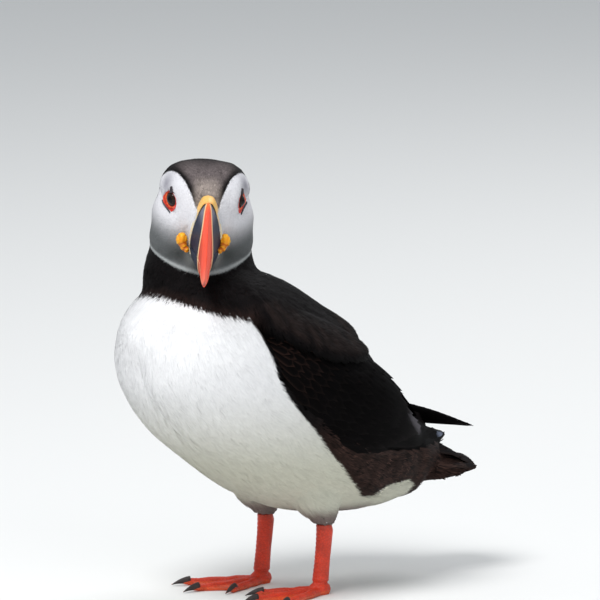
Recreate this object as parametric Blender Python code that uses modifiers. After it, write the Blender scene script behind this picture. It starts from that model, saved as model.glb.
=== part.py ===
"""Atlantic puffin, life size, standing on both feet with its head turned over its left shoulder.

Frame: +Z up, the breast faces -Y, the bird's left side is +X, and the origin lies on the ground under
the middle of the bird's box. The body is first laid out from a point between the two legs, in
millimetres forward, left and up; at() turns such a place into metres.
"""
import math

import bmesh
import bpy
import numpy as np
from mathutils import Matrix, Vector

MM = 0.001
GAP = 0.3  # air between two neighbouring pieces

# The middle of the bird's box, forward of the point between its legs.
MIDDLE_FORWARD = -3.6

# Where the middle of the skull sits (forward, left, up), and how the head is turned, in degrees.
HEAD_CENTRE = (51.5, 0.0, 188.5)
HEAD_TURN = 57.2
HEAD_NOD = 12.0
HEAD_ROLL = 2.5

# Lumps of the head: forward, left, up, then their half sizes. A left one has a twin on the right.
HEAD_LUMPS = {
    "cranium": ((-4, 0, -1), (25, 18.5, 17.5)),
    "brow": ((-1, 9, 3), (17, 12, 14)),
    "cheek": ((-3, 9, -9), (18, 15, 11.5)),
    "jowl": ((-3, 7, -20), (17.5, 17.5, 12)),
    "forehead": ((6, 0, 0), (14, 9, 13)),
    "muzzle": ((5, 0, -12), (13, 9, 19)),
}
# Hollows of the head round the eyes: forward, left, up, then their size and depth.
EYE_HOLLOW = ((11.0, 17.5, 2.0), 5.0, 0.13)

# The bill, measured along the closed mouth from its root.
BILL_ROOT = (20.5, 0.0, -15.0)
BILL_DROOP = 10.0
BILL_YAW = -2.0
BILL_LENGTH = 38.5
UPPER_DEPTH = 24.0
LOWER_DEPTH = 13.5
BILL_HALF_WIDTH = 7.6
RIDGE_HALF_WIDTH = 3.2
CERE_BACK = -2.0
CERE_FRONT = 2.0
CERE_PROUD = 1.0

EYE_PLACE = (8.6, 14.2, 3.2)
EYE_RADIUS = 3.9
ROSETTE_PLACE = (20.5, 9.6, -15.0)
ROSETTE_HALF = (3.4, 3.6, 4.4)

# Trunk sections, tail to breast: forward, up, pitch in degrees, back, belly, half width.
TRUNK_SECTIONS = (
    (-82, 55, 22, 4, 5, 8),
    (-75, 56, 24, 9, 12, 16),
    (-60, 58, 27, 15, 24, 25),
    (-41, 63, 32, 26, 33, 34),
    (-18, 71, 36, 39, 40, 41),
    (5, 84, 38, 49, 45, 45),
    (28, 101, 38, 50, 46, 46),
    (46, 114, 36, 47, 45, 46),
    (62, 124, 30, 38, 40, 42),
    (76, 128, 24, 25, 30, 33),
    (86, 129, 20, 13, 16, 18),
    (92, 129, 20, 3, 4, 4),
)
# Neck sections, from inside the breast up into the skull: forward, left, up, half width, half depth,
# and how far each has turned with the head, in degrees.
NECK_SECTIONS = (
    (43, 0, 118, 34, 33, 0),
    (48, -2, 136, 31, 27, 20),
    (49, -6, 150, 27.5, 21.5, 45),
    (48, -8.5, 162, 24.5, 18, 57),
    (48, -7, 174, 20, 17, 57),
)
# Folded wing, wrist to tip: forward, left, up, pitch, lean, half height, half thickness.
WING_SECTIONS = (
    (50, 33, 134, 38, 14, 5, 1.5),
    (44, 37, 130, 38, 14, 13, 4),
    (30, 42, 121, 38, 12, 21, 5.5),
    (8, 45, 104, 36, 10, 25, 6),
    (-16, 43, 89, 32, 12, 22, 5.5),
    (-40, 33, 78, 26, 18, 15, 4.5),
)
# The tips cross over the rump, the right one above.
TIP_SECTIONS = {
    "left": (
        (-60, 19, 70, 16, 40, 9, 3),
        (-80, 5, 66, 6, 60, 6, 2),
        (-94, -6, 64, 4, 70, 3, 0.8),
    ),
    "right": (
        (-60, 17, 78, 20, 40, 9, 3),
        (-80, 0, 75, 14, 60, 5.5, 1.8),
        (-98, -11, 69, 10, 70, 2, 0.7),
    ),
}
WING_WRAP = 48.0  # radius of the flank that the wing bends around
# Tail, root to tip: forward, up, half width, half thickness.
TAIL_SECTIONS = (
    (-58, 56, 14, 10),
    (-72, 54, 20, 8),
    (-86, 54, 21, 3.5),
    (-95, 53.5, 17, 1.5),
    (-100, 53, 8, 0.7),
)
# Feathered upper leg, top to ankle: forward, up, half width, half depth.
THIGH_SECTIONS = (
    (3, 62, 15, 17),
    (3, 50, 13, 15),
    (1, 42, 9.5, 10.5),
    (-2, 36.5, 6.5, 7),
    (-3, 33.5, 4.6, 5.0),
)
# Bare lower leg, ankle to foot: forward, up, half width, half depth.
LEG_SECTIONS = (
    (-3, 33.2, 3.4, 3.9),
    (-3.5, 29, 3.5, 4.3),
    (-2.5, 20, 3.1, 4.0),
    (-1.5, 11, 3.3, 4.1),
    (-1, 6.5, 3.7, 4.2),
)
LEG_SPREAD = 40.0
RIGHT_STEP = 4.5  # the right foot stands this much ahead

# Toes: length, turn outwards in degrees.
TOES = ((31, -24), (41, 0), (38, 25))
TOE_RADIUS = 2.4
CLAW_LENGTH = 7.0
WEB_THICKNESS = 1.4


def at(forward, left, up):
    """A place on the bird in metres."""
    return Vector((left, MIDDLE_FORWARD - forward, up)) * MM


class HeadFrame:
    """The head's own axes: forward along the face, left and up, from the middle of the skull."""

    def __init__(self):
        turn = Matrix.Rotation(math.radians(HEAD_TURN), 3, "Z")
        nod = Matrix.Rotation(math.radians(HEAD_NOD), 3, "X")
        roll = Matrix.Rotation(math.radians(HEAD_ROLL), 3, "Y")
        self.axes = turn @ nod @ roll
        self.centre = at(*HEAD_CENTRE)

    def point(self, forward, left, up):
        return self.centre + self.axes @ (Vector((left, -forward, up)) * MM)


HEAD = HeadFrame()


def on_bill(along, left, rise):
    """A place on the bill: along the closed mouth, to the left, and above the mouth."""
    droop = math.radians(BILL_DROOP)
    left += along * math.sin(math.radians(BILL_YAW))
    forward = BILL_ROOT[0] + along * math.cos(droop) + rise * math.sin(droop)
    up = BILL_ROOT[2] - along * math.sin(droop) + rise * math.cos(droop)
    return HEAD.point(forward, left, up)


def clear_scene():
    for obj in list(bpy.data.objects):
        bpy.data.objects.remove(obj)


def new_collection(name):
    collection = bpy.data.collections.new(name)
    bpy.context.scene.collection.children.link(collection)
    return collection


clear_scene()
BIRD = new_collection("atlantic_puffin")
CUTTERS = new_collection("cutters")
CUTTERS.hide_render = True


def finish(name, colour, roughness):
    material = bpy.data.materials.new(name)
    material.use_nodes = True
    shader = material.node_tree.nodes["Principled BSDF"]
    shader.inputs["Base Color"].default_value = (*colour, 1)
    shader.inputs["Roughness"].default_value = roughness
    shader.inputs["Metallic"].default_value = 0.0
    return material


def as_object(name, bm, collection=BIRD):
    bmesh.ops.remove_doubles(bm, verts=bm.verts, dist=2e-6)
    bmesh.ops.recalc_face_normals(bm, faces=bm.faces)
    mesh = bpy.data.meshes.new(name)
    bm.to_mesh(mesh)
    bm.free()
    obj = bpy.data.objects.new(name, mesh)
    collection.objects.link(obj)
    if collection is CUTTERS:
        obj.hide_render = True
        obj.display_type = "WIRE"
    return obj


def settle(obj):
    """Turns an object's modifiers into its mesh."""
    bpy.context.view_layer.update()
    graph = bpy.context.evaluated_depsgraph_get()
    mesh = bpy.data.meshes.new_from_object(obj.evaluated_get(graph))
    obj.modifiers.clear()
    obj.data = mesh


def combine(obj, other, operation):
    """Adds another solid to this one, or cuts it away, and settles the result."""
    join = obj.modifiers.new(operation.lower(), "BOOLEAN")
    join.operation = operation
    join.solver = "MANIFOLD"
    join.object = other
    settle(obj)


def grown(obj, amount):
    """A cutter like the object, but larger all round."""
    bm = bmesh.new()
    bm.from_mesh(obj.data)
    bm.normal_update()
    for vert in bm.verts:
        vert.co += vert.normal * amount * MM
    return as_object(obj.name + "_cutter", bm, CUTTERS)


def make_room(obj, neighbours, amount=GAP):
    for neighbour in neighbours:
        combine(obj, grown(neighbour, amount), "DIFFERENCE")


def smooth_rows(rows, count):
    """Rows read at count even steps from a Catmull-Rom curve through the given ones."""
    rows = np.array(rows, float)
    padded = np.vstack([2 * rows[0] - rows[1], rows, 2 * rows[-1] - rows[-2]])
    found = []
    for place in np.linspace(0, len(rows) - 1, count):
        i = min(int(place), len(rows) - 2)
        t = place - i
        a, b, c, d = padded[i : i + 4]
        found.append(
            b + 0.5 * t * (c - a + t * (2 * a - 5 * b + 4 * c - d + t * (3 * (b - c) + d - a)))
        )
    return found


def turns(count):
    return [2 * math.pi * i / count for i in range(count)]


def loft(name, rings, collection=BIRD):
    """A closed skin over rings of equal count, its two ends closed."""
    bm = bmesh.new()
    rows = [[bm.verts.new(point) for point in ring] for ring in rings]
    for low, high in zip(rows, rows[1:]):
        for i in range(len(low)):
            j = (i + 1) % len(low)
            bm.faces.new((low[i], low[j], high[j], high[i]))
    for row, ring in ((rows[0], rings[0]), (rows[-1], rings[-1])):
        middle = bm.verts.new(sum((Vector(p) for p in ring), Vector()) / len(ring))
        for i in range(len(row)):
            bm.faces.new((row[i], row[(i + 1) % len(row)], middle))
    return as_object(name, bm, collection)


def rounded_square(angle, power=2.15):
    """Cosine and sine, pushed out a little towards a square."""
    c, s = math.cos(angle), math.sin(angle)
    return math.copysign(abs(c) ** (2 / power), c), math.copysign(abs(s) ** (2 / power), s)


# ---------------------------------------------------------------- flesh


def trunk_form():
    rings = []
    for forward, up, pitch, back, belly, half in smooth_rows(TRUNK_SECTIONS, 34):
        tilt = math.radians(pitch)
        ring = []
        for angle in turns(36):
            side, rise = rounded_square(angle)
            rise *= back if rise > 0 else belly
            ring.append(at(forward - rise * math.sin(tilt), side * half, up + rise * math.cos(tilt)))
        rings.append(ring)
    return loft("trunk_form", rings, CUTTERS)


def upright(name, sections, count, sides, collection=BIRD):
    """A solid of level oval sections, one above the other."""
    rings = []
    for forward, left, up, half, depth, turn in smooth_rows(sections, count):
        c, s = math.cos(math.radians(turn)), math.sin(math.radians(turn))
        ring = []
        for angle in turns(sides):
            out, ahead = half * math.sin(angle), depth * math.cos(angle)
            ring.append(at(forward + ahead * c - out * s, left + ahead * s + out * c, up))
        rings.append(ring)
    return loft(name, rings, collection)


def under_side(sections, left, step):
    """Level sections of a leg, moved under its side of the bird."""
    return [(forward + step, left, up, half, depth, 0) for forward, up, half, depth in sections]


def head_depth(points):
    """Under 1 inside the head, from a soft union of its lumps."""
    softness = 14.0
    power = 2.2
    total = np.zeros(len(points))
    for centre, half in HEAD_LUMPS.values():
        for side in (1, -1) if centre[1] else (1,):
            middle = np.array((centre[0], side * centre[1], centre[2]), float)
            reach = (np.abs((points - middle) / half) ** power).sum(axis=1) ** (1 / power)
            total += np.exp(-softness * reach)
    depth = -np.log(total) / softness
    place, size, push = EYE_HOLLOW
    for side in (1, -1):
        apart = ((points - (place[0], side * place[1], place[2])) ** 2).sum(axis=1)
        depth += push * np.exp(-apart / (2 * size**2))
    return depth


def head_form():
    """A ball whose points move out, each along its own ray, to where the lumps end."""
    bm = bmesh.new()
    bmesh.ops.create_icosphere(bm, subdivisions=5, radius=1)
    rays = np.array([(-v.co.y, v.co.x, v.co.z) for v in bm.verts])
    near, far = np.zeros(len(rays)), np.full(len(rays), 60.0)
    for _ in range(24):
        middle = (near + far) / 2
        inside = head_depth(rays * middle[:, None]) < 1
        near = np.where(inside, middle, near)
        far = np.where(inside, far, middle)
    for vert, ray, reach in zip(bm.verts, rays, near):
        vert.co = HEAD.point(*(ray * reach))
    return as_object("head_form", bm, CUTTERS)


def flesh():
    """Trunk, neck and head melted into one smooth body of few faces."""
    neck = upright("neck_form", NECK_SECTIONS, 14, 32, CUTTERS)
    bm = bmesh.new()
    for form in (trunk_form(), neck, head_form()):
        bm.from_mesh(form.data)
    body = as_object("flesh_form", bm, CUTTERS)
    melt = body.modifiers.new("melt", "REMESH")
    melt.mode = "VOXEL"
    melt.voxel_size = 1.6 * MM
    ease = body.modifiers.new("ease", "SMOOTH")
    ease.factor = 0.5
    ease.iterations = 8
    thin = body.modifiers.new("thin", "DECIMATE")
    thin.ratio = 0.038
    settle(body)
    return body


def block_behind(place, normal):
    """A large block whose one face lies on a plane, with the block behind it."""
    bm = bmesh.new()
    bmesh.ops.create_cube(bm, size=1)
    turn = normal.to_track_quat("Z", "Y").to_matrix().to_4x4()
    middle = Matrix.Translation(place) @ turn @ Matrix.Translation((0, 0, -0.2))
    bmesh.ops.transform(bm, matrix=middle @ Matrix.Scale(0.4, 4), verts=bm.verts)
    return as_object("block", bm, CUTTERS)


def slice_of(name, source, planes):
    """The part of a solid that lies behind every given plane."""
    bm = bmesh.new()
    bm.from_mesh(source.data)
    piece = as_object(name, bm)
    for place, normal in planes:
        combine(piece, block_behind(place, normal), "INTERSECT")
    return piece


def parted_flesh():
    """Head, neck and trunk, divided by two thin plane cuts."""
    whole = flesh()
    throat = HEAD.point(-4, 0, -31)
    throat_up = Vector((0, 0, 1))
    collar = at(56, 0, 145)
    collar_up = Vector((0, -0.12, 1)).normalized()
    half_gap = GAP / 2 * MM
    head = slice_of("head", whole, [(throat + throat_up * half_gap, -throat_up)])
    trunk = slice_of("trunk", whole, [(collar - collar_up * half_gap, collar_up)])
    neck = slice_of(
        "neck",
        whole,
        [(throat - throat_up * half_gap, throat_up), (collar + collar_up * half_gap, -collar_up)],
    )
    return head, neck, trunk


def wing(side, name):
    """A folded wing: thin sections that bend round the flank, from the wrist to the tip."""
    rings = []
    sections = WING_SECTIONS + TIP_SECTIONS[name]
    for forward, left, up, pitch, lean, height, thick in smooth_rows(sections, 17):
        pitch, lean = math.radians(pitch), math.radians(lean)
        ring = []
        for angle in turns(14):
            rise = height * math.cos(angle)
            out = thick * math.sin(angle) - rise * rise / (2 * WING_WRAP)
            over = rise * math.cos(lean) + out * math.sin(lean)
            apart = out * math.cos(lean) - rise * math.sin(lean)
            ring.append(
                at(
                    forward - over * math.sin(pitch),
                    side * (left + apart),
                    up + over * math.cos(pitch),
                )
            )
        rings.append(ring)
    return loft(f"wing_{name}", rings)


def tail():
    rings = []
    for forward, up, half, thick in smooth_rows(TAIL_SECTIONS, 9):
        ring = []
        for angle in turns(16):
            across, rise = half * math.cos(angle), thick * math.sin(angle)
            sag = across * across / 90
            ring.append(at(forward - rise * 0.35, across, up + rise - sag))
        rings.append(ring)
    return loft("tail", rings)


# ---------------------------------------------------------------- bill and eyes


def upper_edge(along):
    """Height of the bill's ridge above the mouth."""
    return UPPER_DEPTH * (1 - (along / BILL_LENGTH) ** 1.75) ** 0.78


def lower_edge(along):
    """Depth of the bill's keel below the mouth."""
    return LOWER_DEPTH * (1 - (along / (BILL_LENGTH - 2)) ** 2.0) ** 0.8


def half_width(along, height):
    """Half the bill's thickness; height runs from 0 at the mouth to 1 at the ridge or keel."""
    ahead = max(along, 0) / BILL_LENGTH
    flare = math.exp(-((max(along - CERE_BACK, 0) / 10.0) ** 1.8))
    ridge = RIDGE_HALF_WIDTH * (1 - 0.45 * ahead)
    tip = (1 - 0.97 * ahead**7) ** 0.5
    widest = ridge + (BILL_HALF_WIDTH - RIDGE_HALF_WIDTH) * flare
    return widest * tip * (1 - height**1.8) ** 0.72


def mandible_ring(along, reach, sign, proud=0.0):
    """One closed section of a mandible: up one side, over its edge, down the other."""
    lip = sign * GAP / 2
    ring = []
    for step in range(-7, 8):
        height = math.cos(math.pi / 2 * step / 7) ** 0.8 if abs(step) < 7 else 0.0
        side = math.copysign(1, step) if step else 0.0
        half = half_width(along, min(height, 1.0)) + proud
        rise = lip + sign * height * (reach + proud)
        ring.append(on_bill(along, side * half, rise))
    return ring


def mandible(name, edge, sign, last):
    rings = []
    start = CERE_FRONT + GAP
    for i in range(12):
        along = start + (last - start) * (1 - (1 - i / 11) ** 1.3)
        rings.append(mandible_ring(along, max(edge(along), 1.0), sign))
    return loft(name, rings)


def cere():
    """The swollen rim that the bill grows from, a thick plate set into the face."""
    middle = (CERE_BACK + CERE_FRONT) / 2
    steps = (
        (-9, -1.5),
        (CERE_BACK, 0),
        (CERE_BACK, CERE_PROUD),
        (middle, CERE_PROUD),
        (CERE_FRONT, 0.2),
    )
    rings = []
    for along, proud in steps:
        upper = mandible_ring(along, upper_edge(max(along, 0)), 1, proud)
        lower = mandible_ring(along, lower_edge(max(along, 0)), -1, proud)
        rings.append(upper[:-1] + lower[:0:-1])
    return loft("cere", rings)


def ellipsoid(name, place, half):
    bm = bmesh.new()
    bmesh.ops.create_icosphere(bm, subdivisions=2, radius=1)
    for vert in bm.verts:
        ahead, left, up = -vert.co.y, vert.co.x, vert.co.z
        vert.co = HEAD.point(
            place[0] + ahead * half[0], place[1] + left * half[1], place[2] + up * half[2]
        )
    return as_object(name, bm)


# ---------------------------------------------------------------- feet


def toe(direction, length, heel):
    """A toe that swells at its joints, with its claw, lying on the ground."""
    across = Vector((direction.y, -direction.x, 0))
    rings = []
    count = 10
    for i in range(count + 1):
        along = i / count
        reach = along * (length + CLAW_LENGTH)
        on_toe = reach <= length
        if on_toe:
            swell = 1 + 0.12 * math.cos(reach / length * 3 * 2 * math.pi)
            radius = TOE_RADIUS * (1 - 0.28 * reach / length) * swell
            height = 1.7
        else:
            left_over = (reach - length) / CLAW_LENGTH
            radius = max(1.35 * (1 - left_over), 0.25)
            height = 2.2 - 1.5 * left_over**1.6
        middle = heel + direction * reach * MM + Vector((0, 0, height * MM))
        rings.append(
            [
                middle + (across * math.cos(a) + Vector((0, 0, 1)) * math.sin(a)) * radius * MM
                for a in turns(8)
            ]
        )
    return loft("toe_form", rings, CUTTERS)


def web(points):
    """A plate over an outline, from just under the ground to its thickness above it."""
    bm = bmesh.new()
    low = [bm.verts.new(point - Vector((0, 0, MM))) for point in points]
    face = bm.faces.new(low)
    lifted = bmesh.ops.extrude_face_region(bm, geom=[face])
    tops = [part for part in lifted["geom"] if isinstance(part, bmesh.types.BMVert)]
    bmesh.ops.translate(bm, verts=tops, vec=(0, 0, (WEB_THICKNESS + 1) * MM))
    return as_object("web_form", bm, CUTTERS)


def foot(side, step, name):
    """Three toes joined by webs whose front edges curve in, cut flat where they lie on the ground."""
    heel = at(step - 3, side * LEG_SPREAD / 2, 0)
    directions = []
    for length, turn in TOES:
        angle = math.radians(turn) * side
        directions.append((Vector((math.sin(angle), -math.cos(angle), 0)), length))
    outline = [heel]
    for (first, first_length), (second, second_length) in zip(directions, directions[1:]):
        for i in range(7):
            t = i / 6
            direction = (first * (1 - t) + second * t).normalized()
            length = (first_length * (1 - t) + second_length * t) * 0.96
            outline.append(heel + direction * (length - 22 * t * (1 - t)) * MM)
    whole = web(outline)
    pad = bmesh.new()
    bmesh.ops.create_icosphere(pad, subdivisions=2, radius=1)
    for vert in pad.verts:
        vert.co = heel + Vector((vert.co.x * 4.2, vert.co.y * 6.0 - 2.5, vert.co.z * 4.6 + 2.2)) * MM
    combine(whole, as_object("pad_form", pad, CUTTERS), "UNION")
    for direction, length in directions:
        combine(whole, toe(direction, length, heel), "UNION")
    flat = slice_of(name, whole, [(Vector((0, 0, 0)), Vector((0, 0, -1)))])
    return flat


# ---------------------------------------------------------------- the bird


def build():
    head, neck, trunk = parted_flesh()
    wings = [wing(1, "left"), wing(-1, "right")]
    tail_piece = tail()
    thighs, legs, feet = [], [], []
    for side, name, step in ((1, "left", 0.0), (-1, "right", RIGHT_STEP)):
        spread = side * LEG_SPREAD / 2
        thighs.append(upright(f"thigh_{name}", under_side(THIGH_SECTIONS, spread, step), 7, 14))
        legs.append(upright(f"leg_{name}", under_side(LEG_SECTIONS, spread, step), 6, 12))
        feet.append(foot(side, step, f"foot_{name}"))
    for leg, thigh, foot_piece in zip(legs, thighs, feet):
        make_room(leg, [thigh])
        make_room(foot_piece, [leg])
    make_room(trunk, wings + thighs + [tail_piece], 2 * GAP)
    make_room(tail_piece, wings)
    make_room(neck, wings)

    rim = cere()
    upper = mandible("bill_upper", upper_edge, 1, BILL_LENGTH)
    lower = mandible("bill_lower", lower_edge, -1, BILL_LENGTH - 2)
    details = [rim]
    for side, name in ((1, "left"), (-1, "right")):
        eye_at = (EYE_PLACE[0], side * EYE_PLACE[1], EYE_PLACE[2])
        rosette_at = (ROSETTE_PLACE[0], side * ROSETTE_PLACE[1], ROSETTE_PLACE[2])
        details.append(ellipsoid(f"eye_{name}", eye_at, (EYE_RADIUS,) * 3))
        rosette = ellipsoid(f"rosette_{name}", rosette_at, ROSETTE_HALF)
        make_room(rosette, [rim, upper, lower])
        details.append(rosette)
    for piece in (head, neck):
        make_room(piece, details + [upper, lower])


# Finish of each kind of surface: colour, roughness, and the nodes that have it.
FINISHES = (
    ((0.012, 0.011, 0.012), 0.7, ("wing_left", "wing_right", "tail")),
    ((0.85, 0.85, 0.83), 0.8, ("trunk", "thigh_left", "thigh_right")),
    ((0.62, 0.63, 0.65), 0.8, ("head",)),
    ((0.02, 0.018, 0.018), 0.7, ("neck",)),
    ((0.8, 0.1, 0.04), 0.35, ("bill_upper", "bill_lower")),
    ((0.88, 0.72, 0.36), 0.5, ("cere",)),
    ((0.9, 0.45, 0.02), 0.5, ("rosette_left", "rosette_right")),
    ((0.02, 0.01, 0.008), 0.08, ("eye_left", "eye_right")),
    ((0.8, 0.13, 0.03), 0.5, ("leg_left", "leg_right", "foot_left", "foot_right")),
)


def paint():
    for colour, roughness, names in FINISHES:
        for name in names:
            mesh = bpy.data.objects[name].data
            mesh.materials.clear()
            mesh.materials.append(finish(name, colour, roughness))
            mesh.shade_smooth()


build()
paint()
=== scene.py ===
"""Atlantic puffin, life size: skin, feathers, bill, eyes and feet round the solid model."""

import itertools
import math

import bmesh
import bpy
import numpy as np
from bpy.props import FloatProperty, FloatVectorProperty, IntProperty, PointerProperty
from mathutils import Matrix, Vector
from mathutils.bvhtree import BVHTree


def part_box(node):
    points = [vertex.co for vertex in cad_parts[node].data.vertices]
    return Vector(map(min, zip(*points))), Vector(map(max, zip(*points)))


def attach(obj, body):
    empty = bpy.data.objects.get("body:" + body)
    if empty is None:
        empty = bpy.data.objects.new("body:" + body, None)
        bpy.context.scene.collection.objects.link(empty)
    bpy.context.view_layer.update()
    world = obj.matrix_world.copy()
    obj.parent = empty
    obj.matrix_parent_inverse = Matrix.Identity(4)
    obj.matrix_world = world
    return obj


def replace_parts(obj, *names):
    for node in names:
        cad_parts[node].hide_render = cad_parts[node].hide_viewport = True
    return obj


bl_info = {
    "name": "Atlantic Puffin",
    "version": (1, 0, 0),
    "blender": (4, 5, 0),
    "location": "3D View > Sidebar > Puffin",
    "description": "Finishes a life-size model of an Atlantic puffin",
    "category": "Object",
}

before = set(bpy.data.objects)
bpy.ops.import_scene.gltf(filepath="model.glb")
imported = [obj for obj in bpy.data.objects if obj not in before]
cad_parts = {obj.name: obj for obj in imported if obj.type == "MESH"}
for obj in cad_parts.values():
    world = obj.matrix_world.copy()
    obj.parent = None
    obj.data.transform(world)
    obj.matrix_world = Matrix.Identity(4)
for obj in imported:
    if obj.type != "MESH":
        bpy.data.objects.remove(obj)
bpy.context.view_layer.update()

MM = 0.001

# How the head is turned, nodded and rolled on the neck, in degrees.
HEAD_TURN, HEAD_NOD, HEAD_ROLL = 57.2, 12.0, 2.5
# The middle between the eyes, forward and up from the middle of the skull.
EYES_FORWARD, EYES_UP = 8.6, 3.2
# How far the lower leg's box lies behind the point that the body is measured from.
LEG_BACK = 2.3

FLESH = (
    "head",
    "neck",
    "trunk",
    "tail",
    "wing_left",
    "wing_right",
    "thigh_left",
    "thigh_right",
)
SIDES = {"left": 1, "right": -1}  # which way each side lies along X


def middle(node):
    low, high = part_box(node)
    return np.array((low + high) / 2)


# ---------------------------------------------------------------- places on the bird

BODY_ZERO = middle("leg_left")[1] - LEG_BACK * MM
HEAD_AXES = np.array(
    Matrix.Rotation(math.radians(HEAD_TURN), 3, "Z")
    @ Matrix.Rotation(math.radians(HEAD_NOD), 3, "X")
    @ Matrix.Rotation(math.radians(HEAD_ROLL), 3, "Y")
)
HEAD_ZERO = (middle("eye_left") + middle("eye_right")) / 2 - HEAD_AXES @ (
    np.array((0, -EYES_FORWARD, EYES_UP)) * MM
)


def on_body(forward, left, up):
    """Places in metres from millimetres forward, left and up of the ground between the legs."""
    forward, left, up = np.broadcast_arrays(forward, left, up)
    return np.stack([left * MM, BODY_ZERO - forward * MM, up * MM], -1)


def on_head(forward, left, up):
    """Places in metres from millimetres forward, left and up of the middle of the skull."""
    forward, left, up = np.broadcast_arrays(forward, left, up)
    return HEAD_ZERO + np.stack([left, -forward, up], -1) * MM @ HEAD_AXES.T


def body_place(points):
    """Forward, left and up on the body, in millimetres, of places in metres."""
    return (BODY_ZERO - points[..., 1]) / MM, points[..., 0] / MM, points[..., 2] / MM


def head_place(points):
    """Forward, left and up on the head, in millimetres, of places in metres."""
    own = (points - HEAD_ZERO) @ HEAD_AXES / MM
    return -own[..., 1], own[..., 0], own[..., 2]


def unit(vectors):
    return vectors / np.maximum(np.linalg.norm(vectors, axis=-1, keepdims=True), 1e-12)


def ease(low, high, values):
    """0 below low, 1 above high, and smooth between."""
    t = np.clip((values - low) / (high - low), 0, 1)
    return t * t * (3 - 2 * t)


def mix(a, b, share):
    return a + (b - a) * share


def mix_colour(a, b, share):
    """Colours between a and b, for a share at each place."""
    a = np.asarray(a)
    return a + (np.asarray(b) - a) * np.asarray(share)[..., None]


def bump(values, centre, width):
    """1 at the centre, falling smoothly to nothing some widths away."""
    return np.exp(-(((values - centre) / width) ** 2))


WAVES = 6


def ripple(points, size, seed):
    """Smooth noise from -1 to 1 over places in millimetres: a few crossed waves."""
    rng = np.random.default_rng(seed)
    total = np.zeros(points.shape[:-1])
    for _ in range(WAVES):
        way = unit(rng.normal(size=3)) * rng.uniform(0.6, 1.6) * 2 * math.pi / size
        total += np.sin(points @ way + rng.uniform(0, 2 * math.pi))
    return total / 3.2


def srgb(red, green, blue):
    """A linear colour from the usual 0 to 255 values."""
    values = np.array((red, green, blue)) / 255
    return np.where(values <= 0.04045, values / 12.92, ((values + 0.055) / 1.055) ** 2.4)


# ---------------------------------------------------------------- meshes and materials

WELD = 2e-6  # corners nearer than this are one, in metres


def finished(name, shape, paint, smooth=True):
    """Makes a piece's object from a mesh or bmesh, with its material, and rides it on the bird."""
    mesh = shape
    if isinstance(shape, bmesh.types.BMesh):
        mesh = bpy.data.meshes.new(name)
        shape.to_mesh(mesh)
        shape.free()
    if smooth:
        mesh.shade_smooth()
    mesh.materials.clear()
    mesh.materials.append(paint)
    piece = bpy.data.objects.new(name, mesh)
    bpy.context.scene.collection.objects.link(piece)
    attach(piece, "root")
    return piece


def values_of(mesh, kind):
    """Each vertex's "co" or "normal"."""
    found = np.empty(len(mesh.vertices) * 3, np.float32)
    mesh.vertices.foreach_get(kind, found)
    return found.reshape(-1, 3).astype(float)


def set_points(mesh, points):
    mesh.vertices.foreach_set("co", points.astype(np.float32).ravel())
    mesh.update()


def set_tint(mesh, colours):
    """Stores a colour for each point, which the materials read as tint."""
    layer = mesh.color_attributes.new("tint", "FLOAT_COLOR", "POINT")
    filled = np.ones((len(colours), 4), np.float32)
    filled[:, :3] = np.clip(colours, 0, 1)
    layer.data.foreach_set("color", filled.ravel())


def poured(whole, part):
    """Adds one bmesh to another and frees it."""
    copy = bpy.data.meshes.new("copy")
    part.to_mesh(copy)
    part.free()
    whole.from_mesh(copy)
    bpy.data.meshes.remove(copy)


def shaped_grid(across, along, place):
    """A grid whose corners 0 to 1 each way are carried to where place puts them."""
    bm = bmesh.new()
    bmesh.ops.create_grid(bm, x_segments=across, y_segments=along, size=0.5)
    spots = np.array([vert.co[:2] for vert in bm.verts]) + 0.5
    for vert, point in zip(bm.verts, place(spots[:, 0], spots[:, 1])):
        vert.co = point
    return bm


def welded(bm, fill=True):
    """Joins the corners that meet, closes any hole left and turns the faces outwards."""
    bmesh.ops.remove_doubles(bm, verts=bm.verts, dist=WELD)
    if fill:
        bmesh.ops.holes_fill(bm, edges=bm.edges)
    bmesh.ops.recalc_face_normals(bm, faces=bm.faces)
    return bm


def tint_by_point(bm, colour):
    """Gives each corner of a bmesh a colour from its place."""
    layer = bm.verts.layers.float_color.new("tint")
    places = np.array([vert.co[:] for vert in bm.verts])
    for vert, value in zip(bm.verts, np.clip(colour(places), 0, 1)):
        vert[layer] = (*value, 1)
    return bm


def node_group(name, **inputs):
    """A shader group with the given inputs, which gives a colour, a roughness and a height."""
    group = bpy.data.node_groups.new(name, "ShaderNodeTree")
    for label, value in inputs.items():
        kind = "NodeSocketFloat" if isinstance(value, float) else "NodeSocketColor"
        socket = group.interface.new_socket(label, in_out="INPUT", socket_type=kind)
        socket.default_value = value
    for label, kind in (("Color", "Color"), ("Roughness", "Float"), ("Height", "Float")):
        group.interface.new_socket(label, in_out="OUTPUT", socket_type="NodeSocket" + kind)
    return group, group.nodes.new("NodeGroupInput").outputs


def give(group, colour, roughness, height):
    """Links the three results of a shader group."""
    outs = group.nodes.new("NodeGroupOutput").inputs
    for label, socket in (("Color", colour), ("Roughness", roughness), ("Height", height)):
        group.links.new(socket, outs[label])
    return group


def add(tree, kind, **settings):
    """A new node; a setting named for a socket gives its value, any other is the node's own."""
    node = tree.nodes.new("ShaderNode" + kind)
    for key, value in settings.items():
        label = key.replace("_", " ").title()
        if label in node.inputs:
            node.inputs[label].default_value = value
        else:
            setattr(node, key, value)
    return node


def feed(tree, sockets, values):
    """Gives each socket a link or a value."""
    for socket, value in zip(sockets, values):
        if isinstance(value, bpy.types.NodeSocket):
            tree.links.new(value, socket)
        else:
            socket.default_value = value


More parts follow.
